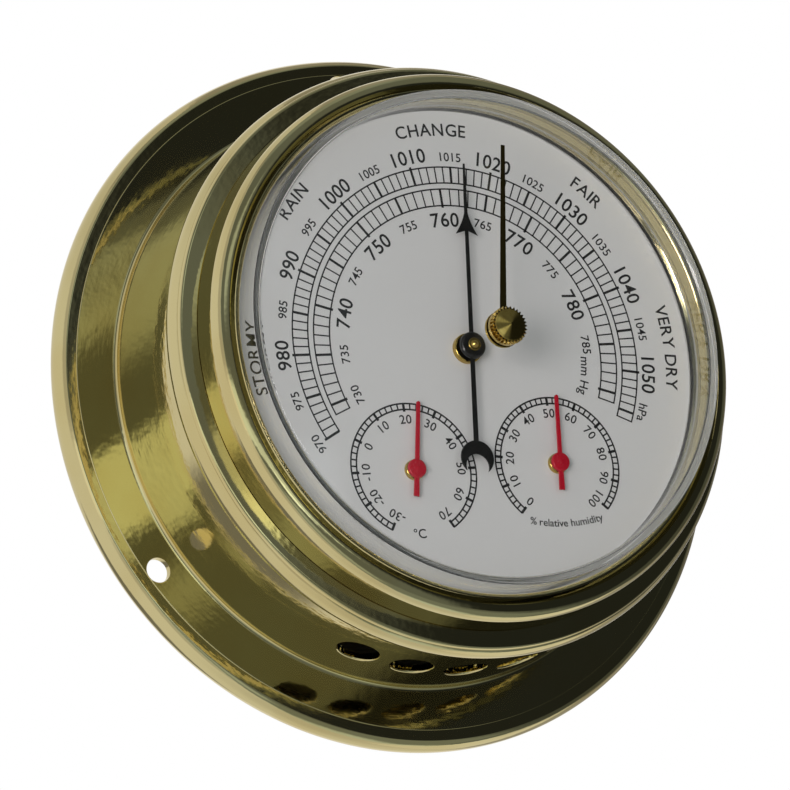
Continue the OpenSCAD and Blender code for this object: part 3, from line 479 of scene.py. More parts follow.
class STATION_OT_case(Operator):
    """Spun brass case: rolled rim, dished flange with screw holes, neck with vents and bead, front ledge"""
    bl_idname = "station.case"
    bl_label = "Case"

    def execute(self, context):
        c = context.scene.station_case
        fillet = (c.neck_radius + c.neck_fillet, c.flange_height - c.flange_dip + c.neck_fillet)
        # the rim: a round outer face, a soft crease, a flat band, and a small step up to the flange
        roll = (c.flange_radius - c.rim_roll, c.rim_height)
        foot = math.asin(c.rim_height / c.rim_roll)
        turn_in = math.asin((c.flange_height - 0.3 * MM - c.rim_height) / c.rim_roll)
        crease = 0.35 * MM
        inner_roll = c.rim_roll - crease
        fold = (roll[0] + inner_roll * math.cos(turn_in), roll[1] + inner_roll * math.sin(turn_in))
        step = (c.flange_radius - 3.4 * MM, c.flange_height - 0.16 * MM)
        slope = math.degrees(math.atan2(c.flange_dip, step[0] - fillet[0]))
        inside_rim = c.flange_radius - 3.2 * MM
        bead_angle = math.acos(1 - c.bead_out / c.bead_curve)
        bead_half = c.bead_curve * math.sin(bead_angle)
        corner = 0.7 * MM
        bead_height = c.height - corner - 0.1 * MM - bead_half
        bead_centre = c.neck_radius + c.bead_out - c.bead_curve
        bezel = context.scene.station_bezel.radius
        opening = bezel - 1.01 * MM
        inner = c.neck_radius - c.sheet
        obj = turned("case_shell", [
            (roll[0] + c.rim_roll * math.cos(foot), 0),
            (*roll, math.degrees(foot + turn_in), 24),
            (*fold, 86 - math.degrees(turn_in), 5),
            (step[0] + 0.16 * MM, step[1]),
            (*step, 90 + slope, 6),
            (fillet[0], c.flange_height - c.flange_dip),
            (*fillet, -90, 10),
            (c.neck_radius, bead_height - bead_half),
            (bead_centre, bead_height, 2 * math.degrees(bead_angle), 20),
            (c.neck_radius, c.height - corner),
            (c.neck_radius - corner, c.height - corner, 90, 10),
            (bezel + 0.1 * MM, c.height + c.ledge_rise),
            (bezel + 0.1 * MM, c.height),
            (opening, c.height),
            (opening, c.height - c.sheet),
            (inner, c.height - c.sheet),
            (inner, fillet[1]),
            (*fillet, 90, 8),
            (inside_rim, c.flange_height - c.sheet),
            (inside_rim, 0),
        ], steps=288)
        holes = []
        face = c.flange_height - c.flange_dip * 0.34
        for i, angle in enumerate(SCREW_ANGLES):
            at = clockwise(angle) @ Matrix.Translation((0, c.screw_circle, face))
            holes.append(drill(f"screw_drill_{i}", c.screw_hole / 2, 4 * MM, 0.2 * MM, HUNG @ at))
        outwards = Matrix.Rotation(-math.pi / 2, 4, "X")
        for i, angle in enumerate(VENT_ANGLES):
            at = clockwise(angle) @ Matrix.Translation((0, c.neck_radius - 0.06 * MM, c.vent_height))
            holes.append(drill(f"vent_drill_{i}", c.vent / 2, 3 * MM, 0.3 * MM, HUNG @ at @ outwards))
        bored(obj, holes)
        settle(obj, "case", "case_brass", brass(), "case_body")
        # painted shade: the neck's inner wall is dull and nearly black, as the vents show it, standing in for
        # the shade inside the case
        inner_shade = enamel("painted_shade_inside", linear("#241A0E"), 0.9, 0.6 * MM, 0.02 * MM, 0.7)
        obj.data.materials.append(inner_shade)
        # the faces that take the painted shade: the neck's inner wall, below the front
        for face in obj.data.polygons:
            centre = face.center
            inwards = face.normal.x * centre.x + face.normal.z * centre.z < 0
            low = -centre.y < c.height - 1 * MM
            if inwards and low and math.hypot(centre.x, centre.z) < inner + 0.1 * MM:
                face.material_index = 1
        return {"FINISHED"}


class STATION_OT_bezel(Operator):
    """Brass ring round the crystal, with a rounded front edge and an inner lip"""
    bl_idname = "station.bezel"
    bl_label = "Bezel"

    def execute(self, context):
        b = context.scene.station_bezel
        case = context.scene.station_case
        skirt = b.radius - 1.05 * MM
        rebate = b.radius - 2.1 * MM
        nose = (b.radius - b.nose, b.top - b.nose - 0.15 * MM)
        lip = (b.lip_radius + 0.8 * MM, b.top - 0.8 * MM)
        start = math.radians(75)
        rebate_height = 37.28 * MM
        obj = turned("bezel", [
            (skirt, case.height - 4.5 * MM),
            (skirt, case.height + 0.01 * MM),
            (b.radius, case.height + 0.01 * MM),
            (b.radius, nose[1]),
            (*nose, 90, 24),
            ((nose[0] + lip[0] + 0.2 * MM) / 2, b.top - 0.8 * MM),
            (lip[0] + 0.8 * MM * math.cos(start), lip[1] + 0.8 * MM * math.sin(start)),
            (*lip, 105, 14),
            (b.lip_radius, rebate_height),
            (rebate, rebate_height),
            (rebate, case.height - 4.5 * MM),
        ], steps=288)
        settle(obj, "case", "case_brass", brass(), "bezel_ring")
        return {"FINISHED"}


class STATION_OT_crystal(Operator):
    """Clear acrylic cup with an upright wall and a gently domed front, on its pale seal ring"""
    bl_idname = "station.crystal"
    bl_label = "Crystal"

    def execute(self, context):
        c = context.scene.station_crystal
        edge = c.wall_radius - c.corner
        radius = (edge * edge + c.dome_rise * c.dome_rise) / (2 * c.dome_rise)
        dome = c.apex - radius
        tilt = math.asin(edge / (radius - c.corner))
        corner_height = dome + (radius - c.corner) * math.cos(tilt)
        inner = c.wall_radius - c.thickness
        inner_radius = radius - c.thickness
        soft = 0.6 * MM
        inner_edge = inner - soft
        inner_tilt = math.asin(inner_edge / (inner_radius - soft))
        inner_corner = dome + (inner_radius - soft) * math.cos(inner_tilt)
        degrees = math.degrees
        step = c.foot_height + 1.2 * MM
        obj = turned("crystal_cup", [
            (inner, c.foot_height),
            (c.foot_radius, c.foot_height),
            (c.foot_radius, step),
            (c.wall_radius + 0.3 * MM, step),
            (c.wall_radius + 0.3 * MM, step + 0.3 * MM, -90, 6),
            (c.wall_radius, corner_height),
            (edge, corner_height, 90 - degrees(tilt), 8),
            (0, dome, degrees(tilt), 36),
            (0, dome + inner_radius),
            (0, dome, -degrees(inner_tilt), 32),
            (inner_edge, inner_corner, -(90 - degrees(inner_tilt)), 8),
            (inner, c.foot_height + 0.01 * MM),
        ], steps=240)
        drop = context.scene.station_set_pointer.drop
        at = HUNG @ Matrix.Translation((0, -drop, c.apex - 0.05 * MM))
        bored(obj, [drill("bush_drill", c.hole, 4 * MM, 0.05 * MM, at)])
        settle(obj, "case", "acrylic", clear_acrylic(), "crystal")
        low, high = context.scene.station_dial.front + 0.03 * MM, c.foot_height - 0.02 * MM
        near, far = inner + 0.1 * MM, c.foot_radius - 0.05 * MM
        seal = turned("crystal_seal", [(near, low), (far, low), (far, high), (near, high)], steps=240)
        silicone = enamel("pale_silicone", linear("#B9B9B5"), 0.6, 0.25 * MM, 0.02 * MM, 0.95)
        settle(seal, "case", "rubber", silicone, "crystal_gasket")
        return {"FINISHED"}


# Dial

CENTRE = (0, 0)
PRINT_DEPTH = 0.012 * MM
# heights of the printed letters and numbers
BIG, SMALL, UNIT, WORD, NOTE = 2.5 * MM, 1.55 * MM, 1.6 * MM, 2.2 * MM, 1.3 * MM


class Lettering:
    """Letters of Blender's own typeface as solid meshes, kept so that each is made once."""

    def __init__(self):
        self.shapes = {}
        self.cap = self.measure("H")[1]
        self.base = self.measure("HH")[0]

    def shape(self, text):
        if text not in self.shapes:
            curve = bpy.data.curves.new("letter", "FONT")
            curve.body = text
            curve.extrude = 0.004
            # a little bolder than the typeface, as printed letters are
            curve.offset = 0.011
            curve.resolution_u = 4
            obj = put("letter", curve)
            self.shapes[text] = solid_mesh(obj)
            bpy.data.objects.remove(obj)
            bpy.data.curves.remove(curve)
        return self.shapes[text]

    def measure(self, text):
        """Width, top and left edge."""
        points = [v.co for v in self.shape(text).vertices]
        left = min(p.x for p in points)
        return max(p.x for p in points) - left, max(p.y for p in points), left

    def advance(self, letter):
        """The width that a letter takes in a line."""
        if letter == " ":
            return self.measure("H H")[0] - self.base
        return self.measure("H" + letter + "H")[0] - self.base

    def write(self, bm, text, height, centre, radius, angle, spread=1.0, squeeze=1.0, below=False):
        """Letters of that height on an arc round centre, with their feet on the radius, the middle at the
        angle. below sets them with their heads to the centre."""
        scale = height / self.cap
        widths = [self.advance(c) * scale * squeeze * spread for c in text]
        at = -sum(widths) / 2
        for letter, width in zip(text, widths):
            middle = at + width / 2
            at += width
            if letter == " ":
                continue
            wide, _, left = self.measure(letter)
            centred = Matrix.Translation((-(left + wide / 2), 0, 0))
            sized = Matrix.Diagonal((scale * squeeze, scale, scale, 1))
            along = math.degrees(middle / radius)
            turn = clockwise(angle - 180 - along if below else angle + along)
            place = spot(*centre) @ turn @ spot(0, -radius if below else radius) @ sized @ centred
            mark = len(bm.verts)
            bm.from_mesh(self.shape(letter))
            bm.verts.ensure_lookup_table()
            bmesh.ops.transform(bm, matrix=place, verts=bm.verts[mark:])


def circle(bm, centre, radius, width, start, end):
    """A printed arc of a circle, between two angles from the top."""
    mark = len(bm.verts)
    half, deep = width / 2, PRINT_DEPTH / 2
    corners = (-half, -deep), (half, -deep), (half, deep), (-half, deep)
    face = bm.faces.new([bm.verts.new((0, radius + x, z)) for x, z in corners])
    turn = math.radians(start - end)
    bmesh.ops.spin(bm, geom=[face], cent=(0, 0, 0), axis=(0, 0, 1), angle=turn, steps=120)
    bm.verts.ensure_lookup_table()
    bmesh.ops.transform(bm, matrix=spot(*centre) @ clockwise(start), verts=bm.verts[mark:])


def tick(bm, centre, angle, low, high, width):
    """One printed mark between two radii."""
    sized = Matrix.Diagonal((width, high - low, PRINT_DEPTH, 1))
    bmesh.ops.create_cube(bm, size=1, matrix=spot(*centre) @ clockwise(angle)
                          @ Matrix.Translation((0, (low + high) / 2, 0)) @ sized)


class STATION_OT_dial(Operator):
    """Painted dial plate with its printed pressure, temperature and humidity scales and weather words"""
    bl_idname = "station.dial"
    bl_label = "Dial"

    def execute(self, context):
        d = context.scene.station_dial
        tones = context.scene.station_finishes
        paint = enamel("sprayed_white_lacquer", list(tones.dial), 0.5, 0.5 * MM, 0.01 * MM, 0.985)
        finish("dial_plate", paint)
        text = Lettering()
        ink = enamel("screen_printed_ink", list(tones.ink), 0.55, 0.2 * MM, 0.005 * MM, 0.8)
        place = HUNG @ Matrix.Translation((0, 0, d.front + 0.004 * MM))
        for name, build in (("pressure_print", self.pressure), ("thermometer_print", self.thermometer),
                            ("hygrometer_print", self.hygrometer), ("weather_print", self.weather)):
            bm = bmesh.new()
            build(bm, text, d)
            bmesh.ops.transform(bm, matrix=place, verts=bm.verts[:])
            settle(piece(name, bm), "case", "dial_print", ink)
        return {"FINISHED"}

    def band(self, bm, text, d, angles, end, plain, tens, feet):
        """One pressure scale between two printed circles, numbered at every fifth unit. angles gives each
        unit's angle, end the unit that has no more numbers, plain and tens how far the marks reach, and feet
        the radii of the big and the small numbers, in millimetres."""
        half = math.degrees(d.tick / 2 / (31 * MM))
        low, high = min(angles.values()) - half, max(angles.values()) + half
        for radius in plain:
            circle(bm, CENTRE, radius * MM, d.line, low, high)
        first = next(value for value in angles if value % 10 == 0)
        for value, angle in angles.items():
            bold, ten = value % 5 == 0, value % 10 == 0
            near, far = tens if ten else plain
            tick(bm, CENTRE, angle, near * MM, far * MM, d.bold_tick if bold else d.tick)
            if ten and first < value < end:
                text.write(bm, str(value), BIG, CENTRE, feet[0] * MM, angle, squeeze=0.98)
            elif bold and value < end:
                text.write(bm, str(value), SMALL, CENTRE, feet[1] * MM, angle)

    def pressure(self, bm, text, d):
        """Hectopascals outside, millimetres of mercury inside."""
        hectopascals = {v: (v - TOP_HPA) * DEG_PER_HPA for v in range(970, 1057)}
        mercury = {v: (v * HPA_PER_MMHG - TOP_HPA) * DEG_PER_HPA for v in range(729, 792)}
        self.band(bm, text, d, hectopascals, 1055, (30.1, 33.0), (30.1, 33.45), (34.0, 34.1))
        self.band(bm, text, d, mercury, 790, (26.0, 29.0), (25.6, 29.0), (22.2, 22.7))
        text.write(bm, "hPa", UNIT, CENTRE, 33.8 * MM, 111.3)
        text.write(bm, "mm Hg", UNIT, CENTRE, 22.1 * MM, 104.0)

    def small(self, bm, text, d, side, values, top, step):
        """One small scale, its marks every second unit."""
        middle = (side * d.sub_x, -d.sub_y)
        low, high = (values[0] - top) * step, (values[-1] - top) * step
        inside, outside = 10.85 * MM, 11.9 * MM
        for radius in (inside, outside):
            circle(bm, middle, radius, 0.3 * MM, low - 0.5, high + 0.5)
        for value in values:
            angle = (value - top) * step
            if value % 10 == 0:
                tick(bm, middle, angle, inside - 0.4 * MM, outside, 0.48 * MM)
                text.write(bm, str(value), SMALL, middle, 8.35 * MM, angle)
            else:
                tick(bm, middle, angle, inside, outside, 0.28 * MM)
        return middle

    def thermometer(self, bm, text, d):
        x, y = self.small(bm, text, d, -1, range(-30, 71, 2), TOP_CELSIUS, DEG_PER_CELSIUS)
        text.write(bm, "°C", UNIT, (x - 0.8 * MM, y + 40 * MM), 52.0 * MM, 180, below=True)

    def hygrometer(self, bm, text, d):
        x, y = self.small(bm, text, d, 1, range(0, 101, 2), TOP_PERCENT, DEG_PER_PERCENT)
        text.write(bm, "% relative humidity", NOTE, (x, y + 21 * MM), 32.2 * MM, 180, below=True)

    def weather(self, bm, text, d):
        for word, angle in WEATHER:
            text.write(bm, word, WORD, CENTRE, 38.7 * MM, angle, spread=1.04)


# Hands

def dark_brass():
    return turned_brass(list(bpy.context.scene.station_finishes.dark_brass))


def eyelet(name, radius, rise, bore, tube, x, y):
    """Brass eyelet in the dial under a hand, with an eased edge; x and y are its place on the dial."""
    front = bpy.context.scene.station_dial.front
    ease = 0.3 * MM
    depth = 1.6 * MM
    obj = turned(f"{name}_eyelet", [
        (bore, front - depth),
        (tube, front - depth),
        (tube, front),
        (radius, front),
        (radius, front + rise - ease),
        (radius - ease, front + rise - ease, 90, 8),
        (bore, front + rise),
    ], steps=96, place=Matrix.Translation((x, 0, y)))
    settle(obj, "case", "set_brass", dark_brass(), f"{name}_boss")


class STATION_OT_eyelets(Operator):
    """Brass eyelets of the three hands"""
    bl_idname = "station.eyelets"
    bl_label = "Eyelets"

    def execute(self, context):
        d = context.scene.station_dial
        h = context.scene.station_hands
        eyelet("barometer", h.eyelet, 1.1 * MM, 1.0 * MM, 1.7 * MM, 0, 0)
        for side, name in ((-1, "thermometer"), (1, "hygrometer")):
            eyelet(name, h.small_hub + 0.1 * MM, 0.8 * MM, 0.53 * MM, 1.4 * MM, side * d.sub_x, -d.sub_y)
        return {"FINISHED"}


class STATION_OT_barometer_hand(Operator):
    """Black hand with a spear tip, a crescent tail and a domed hub, held by a small brass cone nut"""
    bl_idname = "station.barometer_hand"
    bl_label = "Barometer hand"

    def execute(self, context):
        h = context.scene.station_hands
        tone = list(context.scene.station_finishes.hand)
        paint = enamel("satin_black_lacquer", tone, 0.32, 0.35 * MM, 0.006 * MM, 0.7)
        needle = bmesh.new()
        # half widths and distances from the middle in millimetres: tip, neck, flared arrowhead, stem, tail
        arrow = [(0.33 + 1.82 * (i / 10) ** 1.5, 24.35 - 4.25 * i / 10) for i in range(11)]
        side = [(0.2, h.reach / MM), (0.33, 27.35)] + arrow + [(0.36, 20.8), (0.44, 0), (0.5, -17.6)]
        points = side + [(-x, y) for x, y in reversed(side)]
        needle.faces.new([needle.verts.new((x * MM, y * MM, 0)) for x, y in points])
        # the crescent lies between two circles that meet at its horns
        horn = (2.033, -22.54)
        outer, inner = -20.2, -21.7
        crescent = bmesh.new()
        at = crescent.verts.new((horn[0] * MM, horn[1] * MM, 0))
        for middle, way, steps in ((outer, 1, 48), (inner, -1, 36)):
            tip = math.atan2(horn[1] - middle, horn[0])
            made = bmesh.ops.spin(crescent, geom=[at], cent=(0, middle * MM, 0), axis=(0, 0, 1),
                                  angle=way * (math.pi - 2 * tip), steps=steps)
            at = last_vertex(made)
        bmesh.ops.remove_doubles(crescent, verts=crescent.verts[:], dist=2e-5)
        for flat in (needle, crescent):
            plate(flat, h.height, h.thickness, 0.05 * MM, HUNG @ clockwise(HAND_TURN))
        bore = 0.81 * MM
        top = h.height + 0.35 * MM
        hub = turned("hand_hub", [
            (bore, h.height - 0.7 * MM),
            (bore + 0.4 * MM, h.height - 0.7 * MM),
            (bore + 0.4 * MM, h.height),
            (h.hub - 0.08 * MM, h.height),
            (h.hub, h.height + 0.08 * MM),
            (h.hub, top),
            (h.hub - 0.55 * MM, top, 90, 10),
            (bore, top + 0.55 * MM),
        ], steps=96)
        obj = joined("barometer_hand_black", [piece("needle", needle), piece("crescent", crescent), hub])
        settle(obj, "barometer_train", "black_paint", paint, "barometer_hand")
        seat = top + 0.55 * MM
        nut = turned("cone_nut", [
            (0, seat),
            (1.15 * MM, seat),
            (1.15 * MM, seat + 0.2 * MM),
            (1.05 * MM, seat + 0.2 * MM, 90, 4),
            (0.72 * MM, seat + 0.3 * MM),
            (0.3 * MM, seat + 0.78 * MM),
            (0, seat + 0.9 * MM),
        ], steps=64, closed=False)
        settle(nut, "barometer_train", "set_brass", dark_brass(), "hand_cap")
        return {"FINISHED"}


class STATION_OT_small_hands(Operator):
    """Red hands of the thermometer and the hygrometer, on round hubs"""
    bl_idname = "station.small_hands"
    bl_label = "Small hands"

    def execute(self, context):
        d = context.scene.station_dial
        h = context.scene.station_hands
        tone = list(context.scene.station_finishes.red)
        paint = enamel("gloss_red_lacquer", tone, 0.24, 0.3 * MM, 0.006 * MM, 0.86)
        half = 0.33 * MM
        for side, name, turn in ((-1, "thermometer", THERMOMETER_TURN), (1, "hygrometer", HYGROMETER_TURN)):
            place = spot(side * d.sub_x, -d.sub_y) @ clockwise(turn)
            bm = bmesh.new()
            tip = bm.verts.new((half, h.small_reach - half, 0))
            middle = (0, h.small_reach - half, 0)
            made = bmesh.ops.spin(bm, geom=[tip], cent=middle, axis=(0, 0, 1), angle=math.pi, steps=8)
            last = last_vertex(made)
            for x, y in ((-0.4, 0), (-0.5, -5), (0.5, -5), (0.4, 0)):
                new = bm.verts.new((x * MM, y * MM, 0))
                bm.edges.new((last, new))
                last = new
            bm.edges.new((last, tip))
            plate(bm, h.small_height, h.thickness, 0.05 * MM, HUNG @ place)
            hub = turned("red_hub", [
                (0, h.small_height),
                (h.small_hub, h.small_height),
                (h.small_hub, h.small_height + 0.25 * MM),
                (h.small_hub - 0.3 * MM, h.small_height + 0.25 * MM, 90, 8),
                (0.5 * MM, h.small_height + 0.56 * MM),
                (0.3 * MM, h.small_height + 0.62 * MM),
                (0, h.small_height + 0.62 * MM),
            ], steps=64, closed=False, place=Matrix.Translation((side * d.sub_x, 0, -d.sub_y)))
            obj = joined(f"{name}_hand_red", [piece("blade", bm), hub])
            settle(obj, f"{name}_hand_set", "red_paint", paint, f"{name}_hand")
        return {"FINISHED"}


# Set pointer

class STATION_OT_set_pointer(Operator):
    """Knurled knob with a cone, the brass pointer that it turns, and their bush in the crystal"""
    bl_idname = "station.set_pointer"
    bl_label = "Set pointer"

    def execute(self, context):
        s = context.scene.station_set_pointer
        apex = context.scene.station_crystal.apex
        mat = dark_brass()
        bore = 0.81 * MM
        foot = s.knob_height
        low = Matrix.Translation((0, 0, -s.drop))
        knurl = bmesh.new()
        rim = bmesh.ops.create_circle(knurl, cap_ends=True, segments=4 * s.ridges, radius=s.knob)["verts"]
        # each ridge has a crest, and two flanks down to the grooves beside it
        grooves, flanks = rim[2::4], rim[1::2]
        for lower, share in ((grooves, 0.85), (flanks, 0.92)):
            bmesh.ops.scale(knurl, vec=(share, share, 1), verts=lower)
        body = bmesh.ops.extrude_face_region(knurl, geom=knurl.faces[:])["geom"]
        top = [g for g in body if isinstance(g, bmesh.types.BMVert)]
        bmesh.ops.translate(knurl, vec=(0, 0, 1.4 * MM), verts=top)
        rims = [e for e in knurl.edges if len({round(v.co.z, 7) for v in e.verts}) == 1]
        bmesh.ops.bevel(knurl, geom=rims, offset=0.05 * MM, offset_type="OFFSET", segments=2, profile=0.5,
                        affect="EDGES", material=-1, clamp_overlap=True)
        place = low @ HUNG @ Matrix.Translation((0, 0, foot + 0.8 * MM))
        bmesh.ops.transform(knurl, matrix=place, verts=knurl.verts[:])
        collar = turned("collar", [
            (bore, foot),
            (s.knob - 0.3 * MM, foot),
            (s.knob - 0.15 * MM, foot + 0.15 * MM),
            (s.knob - 0.15 * MM, foot + 0.85 * MM),
            (bore, foot + 0.85 * MM),
        ], steps=96, place=low)
        base = foot + 2.19 * MM
        cone = turned("cone", [
            (0, base),
            (s.knob - 0.55 * MM, base),
            (s.knob - 0.6 * MM, base + 0.06 * MM),
            (0.3 * MM, base + 0.75 * MM),
            (0.12 * MM, base + 0.78 * MM),
            (0, base + 0.785 * MM),
        ], steps=96, closed=False, place=low)
        knob = joined("set_knob_knurled", [piece("knurl", knurl), collar, cone])
        settle(knob, "set_pointer", "set_brass", mat, "set_knob")
        height = apex + 0.55 * MM
        arm = bmesh.new()
        half = s.width / 2
        start, tip = 1.5 * MM, half * 0.6
        corners = (half, start, 0), (tip, s.reach, 0), (-tip, s.reach, 0), (-half, start, 0)
        arm.faces.new([arm.verts.new(p) for p in corners])
        plate(arm, height, 0.48 * MM, 0.06 * MM, low @ HUNG @ clockwise(SET_TURN))
        eye = turned("eye", [
            (bore, height),
            (1.9 * MM, height),
            (1.9 * MM, height + 0.42 * MM),
            (1.84 * MM, height + 0.48 * MM),
            (bore, height + 0.48 * MM),
        ], steps=64, place=low)
        pointer = joined("set_hand_brass", [piece("arm", arm), eye])
        settle(pointer, "set_pointer", "set_brass", mat, "set_hand")
        wall = 1.3 * MM
        bush = turned("crystal_bush", [
            (0.83 * MM, apex - 1.6 * MM),
            (wall, apex - 1.6 * MM),
            (wall, apex),
            (s.knob - 0.1 * MM, apex),
            (s.knob - 0.1 * MM, apex + 0.3 * MM),
            (s.knob - 0.2 * MM, apex + 0.4 * MM),
            (0.83 * MM, apex + 0.4 * MM),
        ], steps=96, place=low)
        settle(bush, "case", "set_brass", mat, "set_bush")
        return {"FINISHED"}


# Inside and back

class STATION_OT_movement(Operator):
    """Finishes of the movement, the back and the other construction parts, which keep their own shapes"""
    bl_idname = "station.movement"
    bl_label = "Movement and back"

    def execute(self, context):
        # each metal's name, colour, darker streaks, roughness, grain in millimetres, and the parts made of it
        metals = (
            ("brushed_brass_plate", "#C9AE66", "#A98D48", 0.3, 0.25,
             "movement_plate bridge_plate gear_plate rocker_bracket thermometer_cock hygrometer_cock"),
            ("bright_turned_brass", "#D8BE78", "#B89C55", 0.22, 0.15,
             "movement_pillars gear_plate_spacers pinion sector_gear hairspring_collet hairspring_stud "
             "thermometer_collet hygrometer_collet dial_feet lever_arm"),
            ("ground_steel", "#B4B4B0", "#8E8E8B", 0.25, 0.12,
             "hand_arbor sector_arbor rocker_shaft link_rod drop_link capsule_post thermometer_arbor "
             "hygrometer_arbor set_washer set_clip"),
            ("nickelled_screw_steel", "#C4C2BB", "#8F8D86", 0.28, 0.1,
             "movement_screws pillar_screws gear_plate_screws calibration_screw"),
            ("blued_spring_steel", "#3E4F72", "#28324C", 0.22, 0.2, "main_spring hairspring"),
            ("rolled_capsule_metal", "#CBC5B2", "#A69F8C", 0.26, 0.3, "aneroid_capsule"),
            ("bimetal_strip", "#9C8A60", "#6F6250", 0.3, 0.2, "thermometer_coil"),
            ("turned_brass_shaft", "#C9AE62", "#9C8446", 0.25, 0.12, "set_shaft"),
            ("rolled_aluminium", "#C9CBCC", "#A7A9AB", 0.35, 0.3, "dial_retaining_ring"),
            ("zinc_plated_steel", "#B9BCBC", "#9A9E9F", 0.38, 0.4, "rear_cover"),
        )
        for *look, names in metals:
            for name in names.split():
                finish(name, brushed_metal(*look))
        strip = enamel("coated_humidity_strip", linear("#CFC8B0"), 0.5, 0.3 * MM, 0.01 * MM, 0.85)
        finish("hygrometer_coil", strip)
        return {"FINISHED"}


# Studio

# the room that the brass mirrors, each panel over those before it: its left and right edge in degrees round
# from straight ahead, its foot and head in degrees from level, half its soft edge's width, its brightness
ROOM = (
    (-200, 200, 50, 200, 18, 0.6),    # ceiling
    (-200, 200, -200, -62, 14, 0.58), # ground
    (145, 200, -30, 45, 8, 0.85),     # lit wall behind on the right
    (-175, -139, -30, -4, 4, 0.2),    # dark stand behind on the left
    (-46, 140, -66, 200, 6, 0.15),    # open room in front of the dial
    (-70, -46, 8, 66, 5, 0.47),       # curtain on the left
    (-60, -40, -58, -16, 5, 0.5),     # chair below it
    (-78, 160, 66, 200, 6, 0.28),     # dark ceiling
    (102, 164, 50, 200, 6, 0.31),     # its lower edge on the right
    (-40, 84, -76, -48, 5, 0.22),     # carpet
    (98, 142, -74, -31, 4, 0.74),     # pale furniture low on the right
    (110, 146, -34, -9, 4, 0.34),     # its shaded front
    (40, 104, -46, 31, 7, 0.08),      # dim wall on the right
    (19, 74, -38, 31, 5, 0.02),       # dark doorway
    (-36, -21, -60, -19, 4, 0.42),    # table below the window
    (-18, 8, 20, 33, 4, 0.48),        # pale picture higher up
    (-58, -22, -9, 8, 2, 0.87),       # long window on the left
    (-24, 9, -9, 4, 2, 0.75),         # its lower part, nearer the middle
    (-16, -3, -13, -6, 2, 1.4),       # its brightest pane
)
# in metres, from the dial and from the middle of the dial
LAMP_DISTANCE = 2.6
FLOOR_HEIGHT = -0.75


def towards(azimuth, elevation):
    """A direction seen from the dial: azimuth to the right of straight ahead, elevation up."""
    a, e = math.radians(azimuth), math.radians(elevation)
    return Vector((math.sin(a) * math.cos(e), -math.cos(a) * math.cos(e), math.sin(e)))


def lamp(name, azimuth, elevation, side, power):
    """A square lamp that lights the dial and doesn't show in the brass."""
    light = bpy.data.lights.new(name, "AREA")
    light.size = side
    light.energy = power
    light.color = (1.0, 0.925, 0.915)
    obj = put(name, light)
    way = towards(azimuth, elevation)
    obj.location = way * LAMP_DISTANCE
    obj.rotation_euler = way.to_track_quat("Z", "Y").to_euler()
    obj.visible_camera = False
    obj.visible_glossy = False


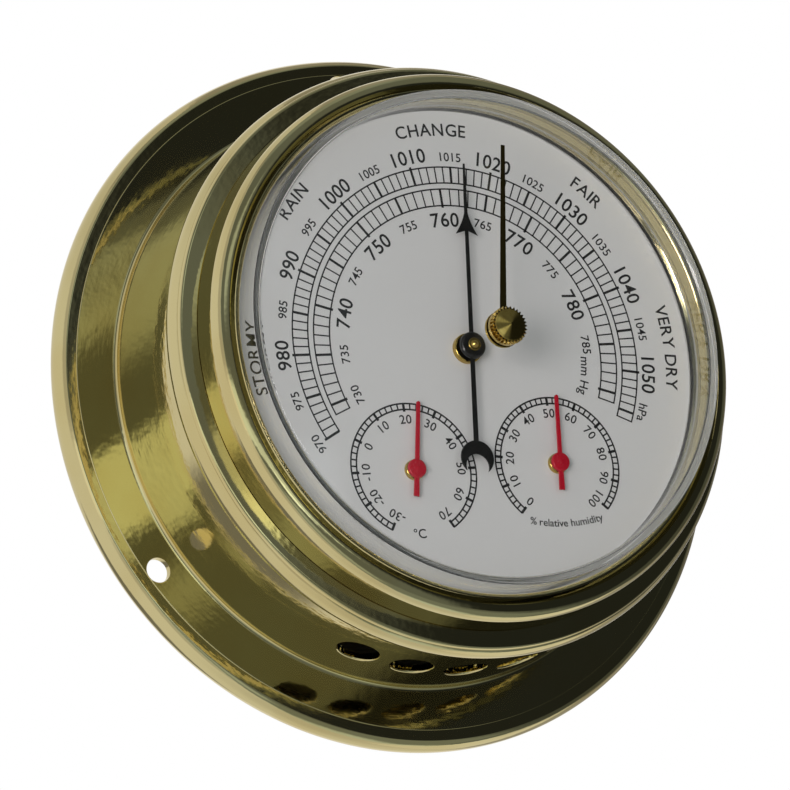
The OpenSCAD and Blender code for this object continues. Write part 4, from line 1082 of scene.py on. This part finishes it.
class STATION_OT_stage(Operator):
    """Pale floor, soft studio light and the camera"""
    bl_idname = "station.stage"
    bl_label = "Stage"

    def execute(self, context):
        scene = context.scene
        bm = bmesh.new()
        bmesh.ops.create_grid(bm, x_segments=2, y_segments=2, size=3.0)
        bmesh.ops.translate(bm, vec=(0, 0, FLOOR_HEIGHT), verts=bm.verts[:])
        floor = piece("studio_floor", bm)
        tone = list(scene.station_finishes.floor)
        floor.data.materials.append(enamel("matt_floor_paint", tone, 0.8, 4 * MM, 0.05 * MM, 0.97))
        floor.visible_glossy = False
        self.surroundings(scene)
        lamp("left_softbox", -42, -5, 0.95, 27.0)
        lamp("front_softbox", 0, 2, 0.3, 2.5)
        data = bpy.data.cameras.new("camera")
        data.lens = LENS
        data.sensor_width = 36
        data.clip_end = 50
        camera = put("camera", data)
        turn = Matrix(CAMERA_AXES).transposed().to_4x4()
        camera.matrix_world = Matrix.Translation(CAMERA_PLACE) @ turn
        scene.camera = camera
        scene.view_settings.view_transform = "Standard"
        return {"FINISHED"}

    def surroundings(self, scene):
        """White for the camera. The brass mirrors a lived-in room: dim in front of the dial, with windows and
        pale furniture that give the spun curves their bright and dark bands."""
        world = bpy.data.worlds.new("studio")
        scene.world = world
        world.use_nodes = True
        tree = world.node_tree
        tree.nodes.clear()
        place = add(tree, "SeparateXYZ", {0: add(tree, "TexCoord").outputs["Generated"]}).outputs
        ahead = add(tree, "Math", {0: place[1], 1: -1.0}, operation="MULTIPLY")
        around = add(tree, "Math", {0: place[0], 1: ahead}, operation="ARCTAN2")
        rise = add(tree, "Math", {0: place[2]}, operation="ARCSINE")

        def within(angle, low, high, soft, high_soft):
            """One between two angles in degrees, and zero outside, past edges this soft."""
            ends = []
            for middle, half in ((low, soft), (high, -high_soft)):
                reach = {0: angle, 1: math.radians(middle - half), 2: math.radians(middle + half)}
                ends.append(add(tree, "MapRange", reach, interpolation_type="SMOOTHSTEP"))
            return add(tree, "Math", {0: ends[0], 1: ends[1]}, operation="MULTIPLY")

        level = 0.7
        for left, right, foot, head, soft, bright in ROOM:
            across = within(around, left, right, soft, soft)
            upright = within(rise, foot, head, soft, soft)
            panel = add(tree, "Math", {0: across, 1: upright}, operation="MULTIPLY")
            level = add(tree, "Mix", {0: panel, 2: level, 3: bright})
        # daylight blue in the open room, nearly white elsewhere
        open_room = within(around, -46, 100, 4, 8)
        tone = add(tree, "Mix", {0: open_room, 6: (1.0, 0.985, 0.99, 1), 7: (0.88, 1.0, 1.05, 1)},
                   data_type="RGBA").outputs[2]
        room = add(tree, "Background", {0: tone, 1: level})
        seen = add(tree, "Background", {0: (1, 1, 1, 1), 1: 1.0})
        eye = add(tree, "LightPath").outputs["Is Camera Ray"]
        both = add(tree, "MixShader", {0: eye, 1: room, 2: seen})
        add(tree, "OutputWorld", {"Surface": both})


# Add-on

OPERATORS = (STATION_OT_case, STATION_OT_bezel, STATION_OT_crystal, STATION_OT_dial, STATION_OT_eyelets,
             STATION_OT_barometer_hand, STATION_OT_small_hands, STATION_OT_set_pointer, STATION_OT_movement,
             STATION_OT_stage)
GROUPS = (("station_case", CaseSizes), ("station_bezel", BezelSizes), ("station_crystal", CrystalSizes),
          ("station_dial", DialSizes), ("station_hands", HandSizes), ("station_set_pointer", SetPointerSizes),
          ("station_finishes", Finishes))


class STATION_PT_panel(Panel):
    """Lists the sizes, the colours and the pieces"""
    bl_label = "Weather Station"
    bl_idname = "STATION_PT_panel"
    bl_space_type = "VIEW_3D"
    bl_region_type = "UI"
    bl_category = "Weather Station"

    def draw(self, context):
        layout = self.layout
        for attribute, group in GROUPS:
            box = layout.box()
            values = getattr(context.scene, attribute)
            for name in group.__annotations__:
                box.prop(values, name)
        for operator in OPERATORS:
            layout.operator(operator.bl_idname)


def register():
    for attribute, group in GROUPS:
        bpy.utils.register_class(group)
        setattr(bpy.types.Scene, attribute, PointerProperty(type=group))
    for kind in OPERATORS + (STATION_PT_panel,):
        bpy.utils.register_class(kind)


def unregister():
    for kind in reversed(OPERATORS + (STATION_PT_panel,)):
        bpy.utils.unregister_class(kind)
    for attribute, group in reversed(GROUPS):
        delattr(bpy.types.Scene, attribute)
        bpy.utils.unregister_class(group)


def main():
    register()
    for operator in OPERATORS:
        group, name = operator.bl_idname.split(".")
        getattr(getattr(bpy.ops, group), name)()


if __name__ == "__main__":
    main()
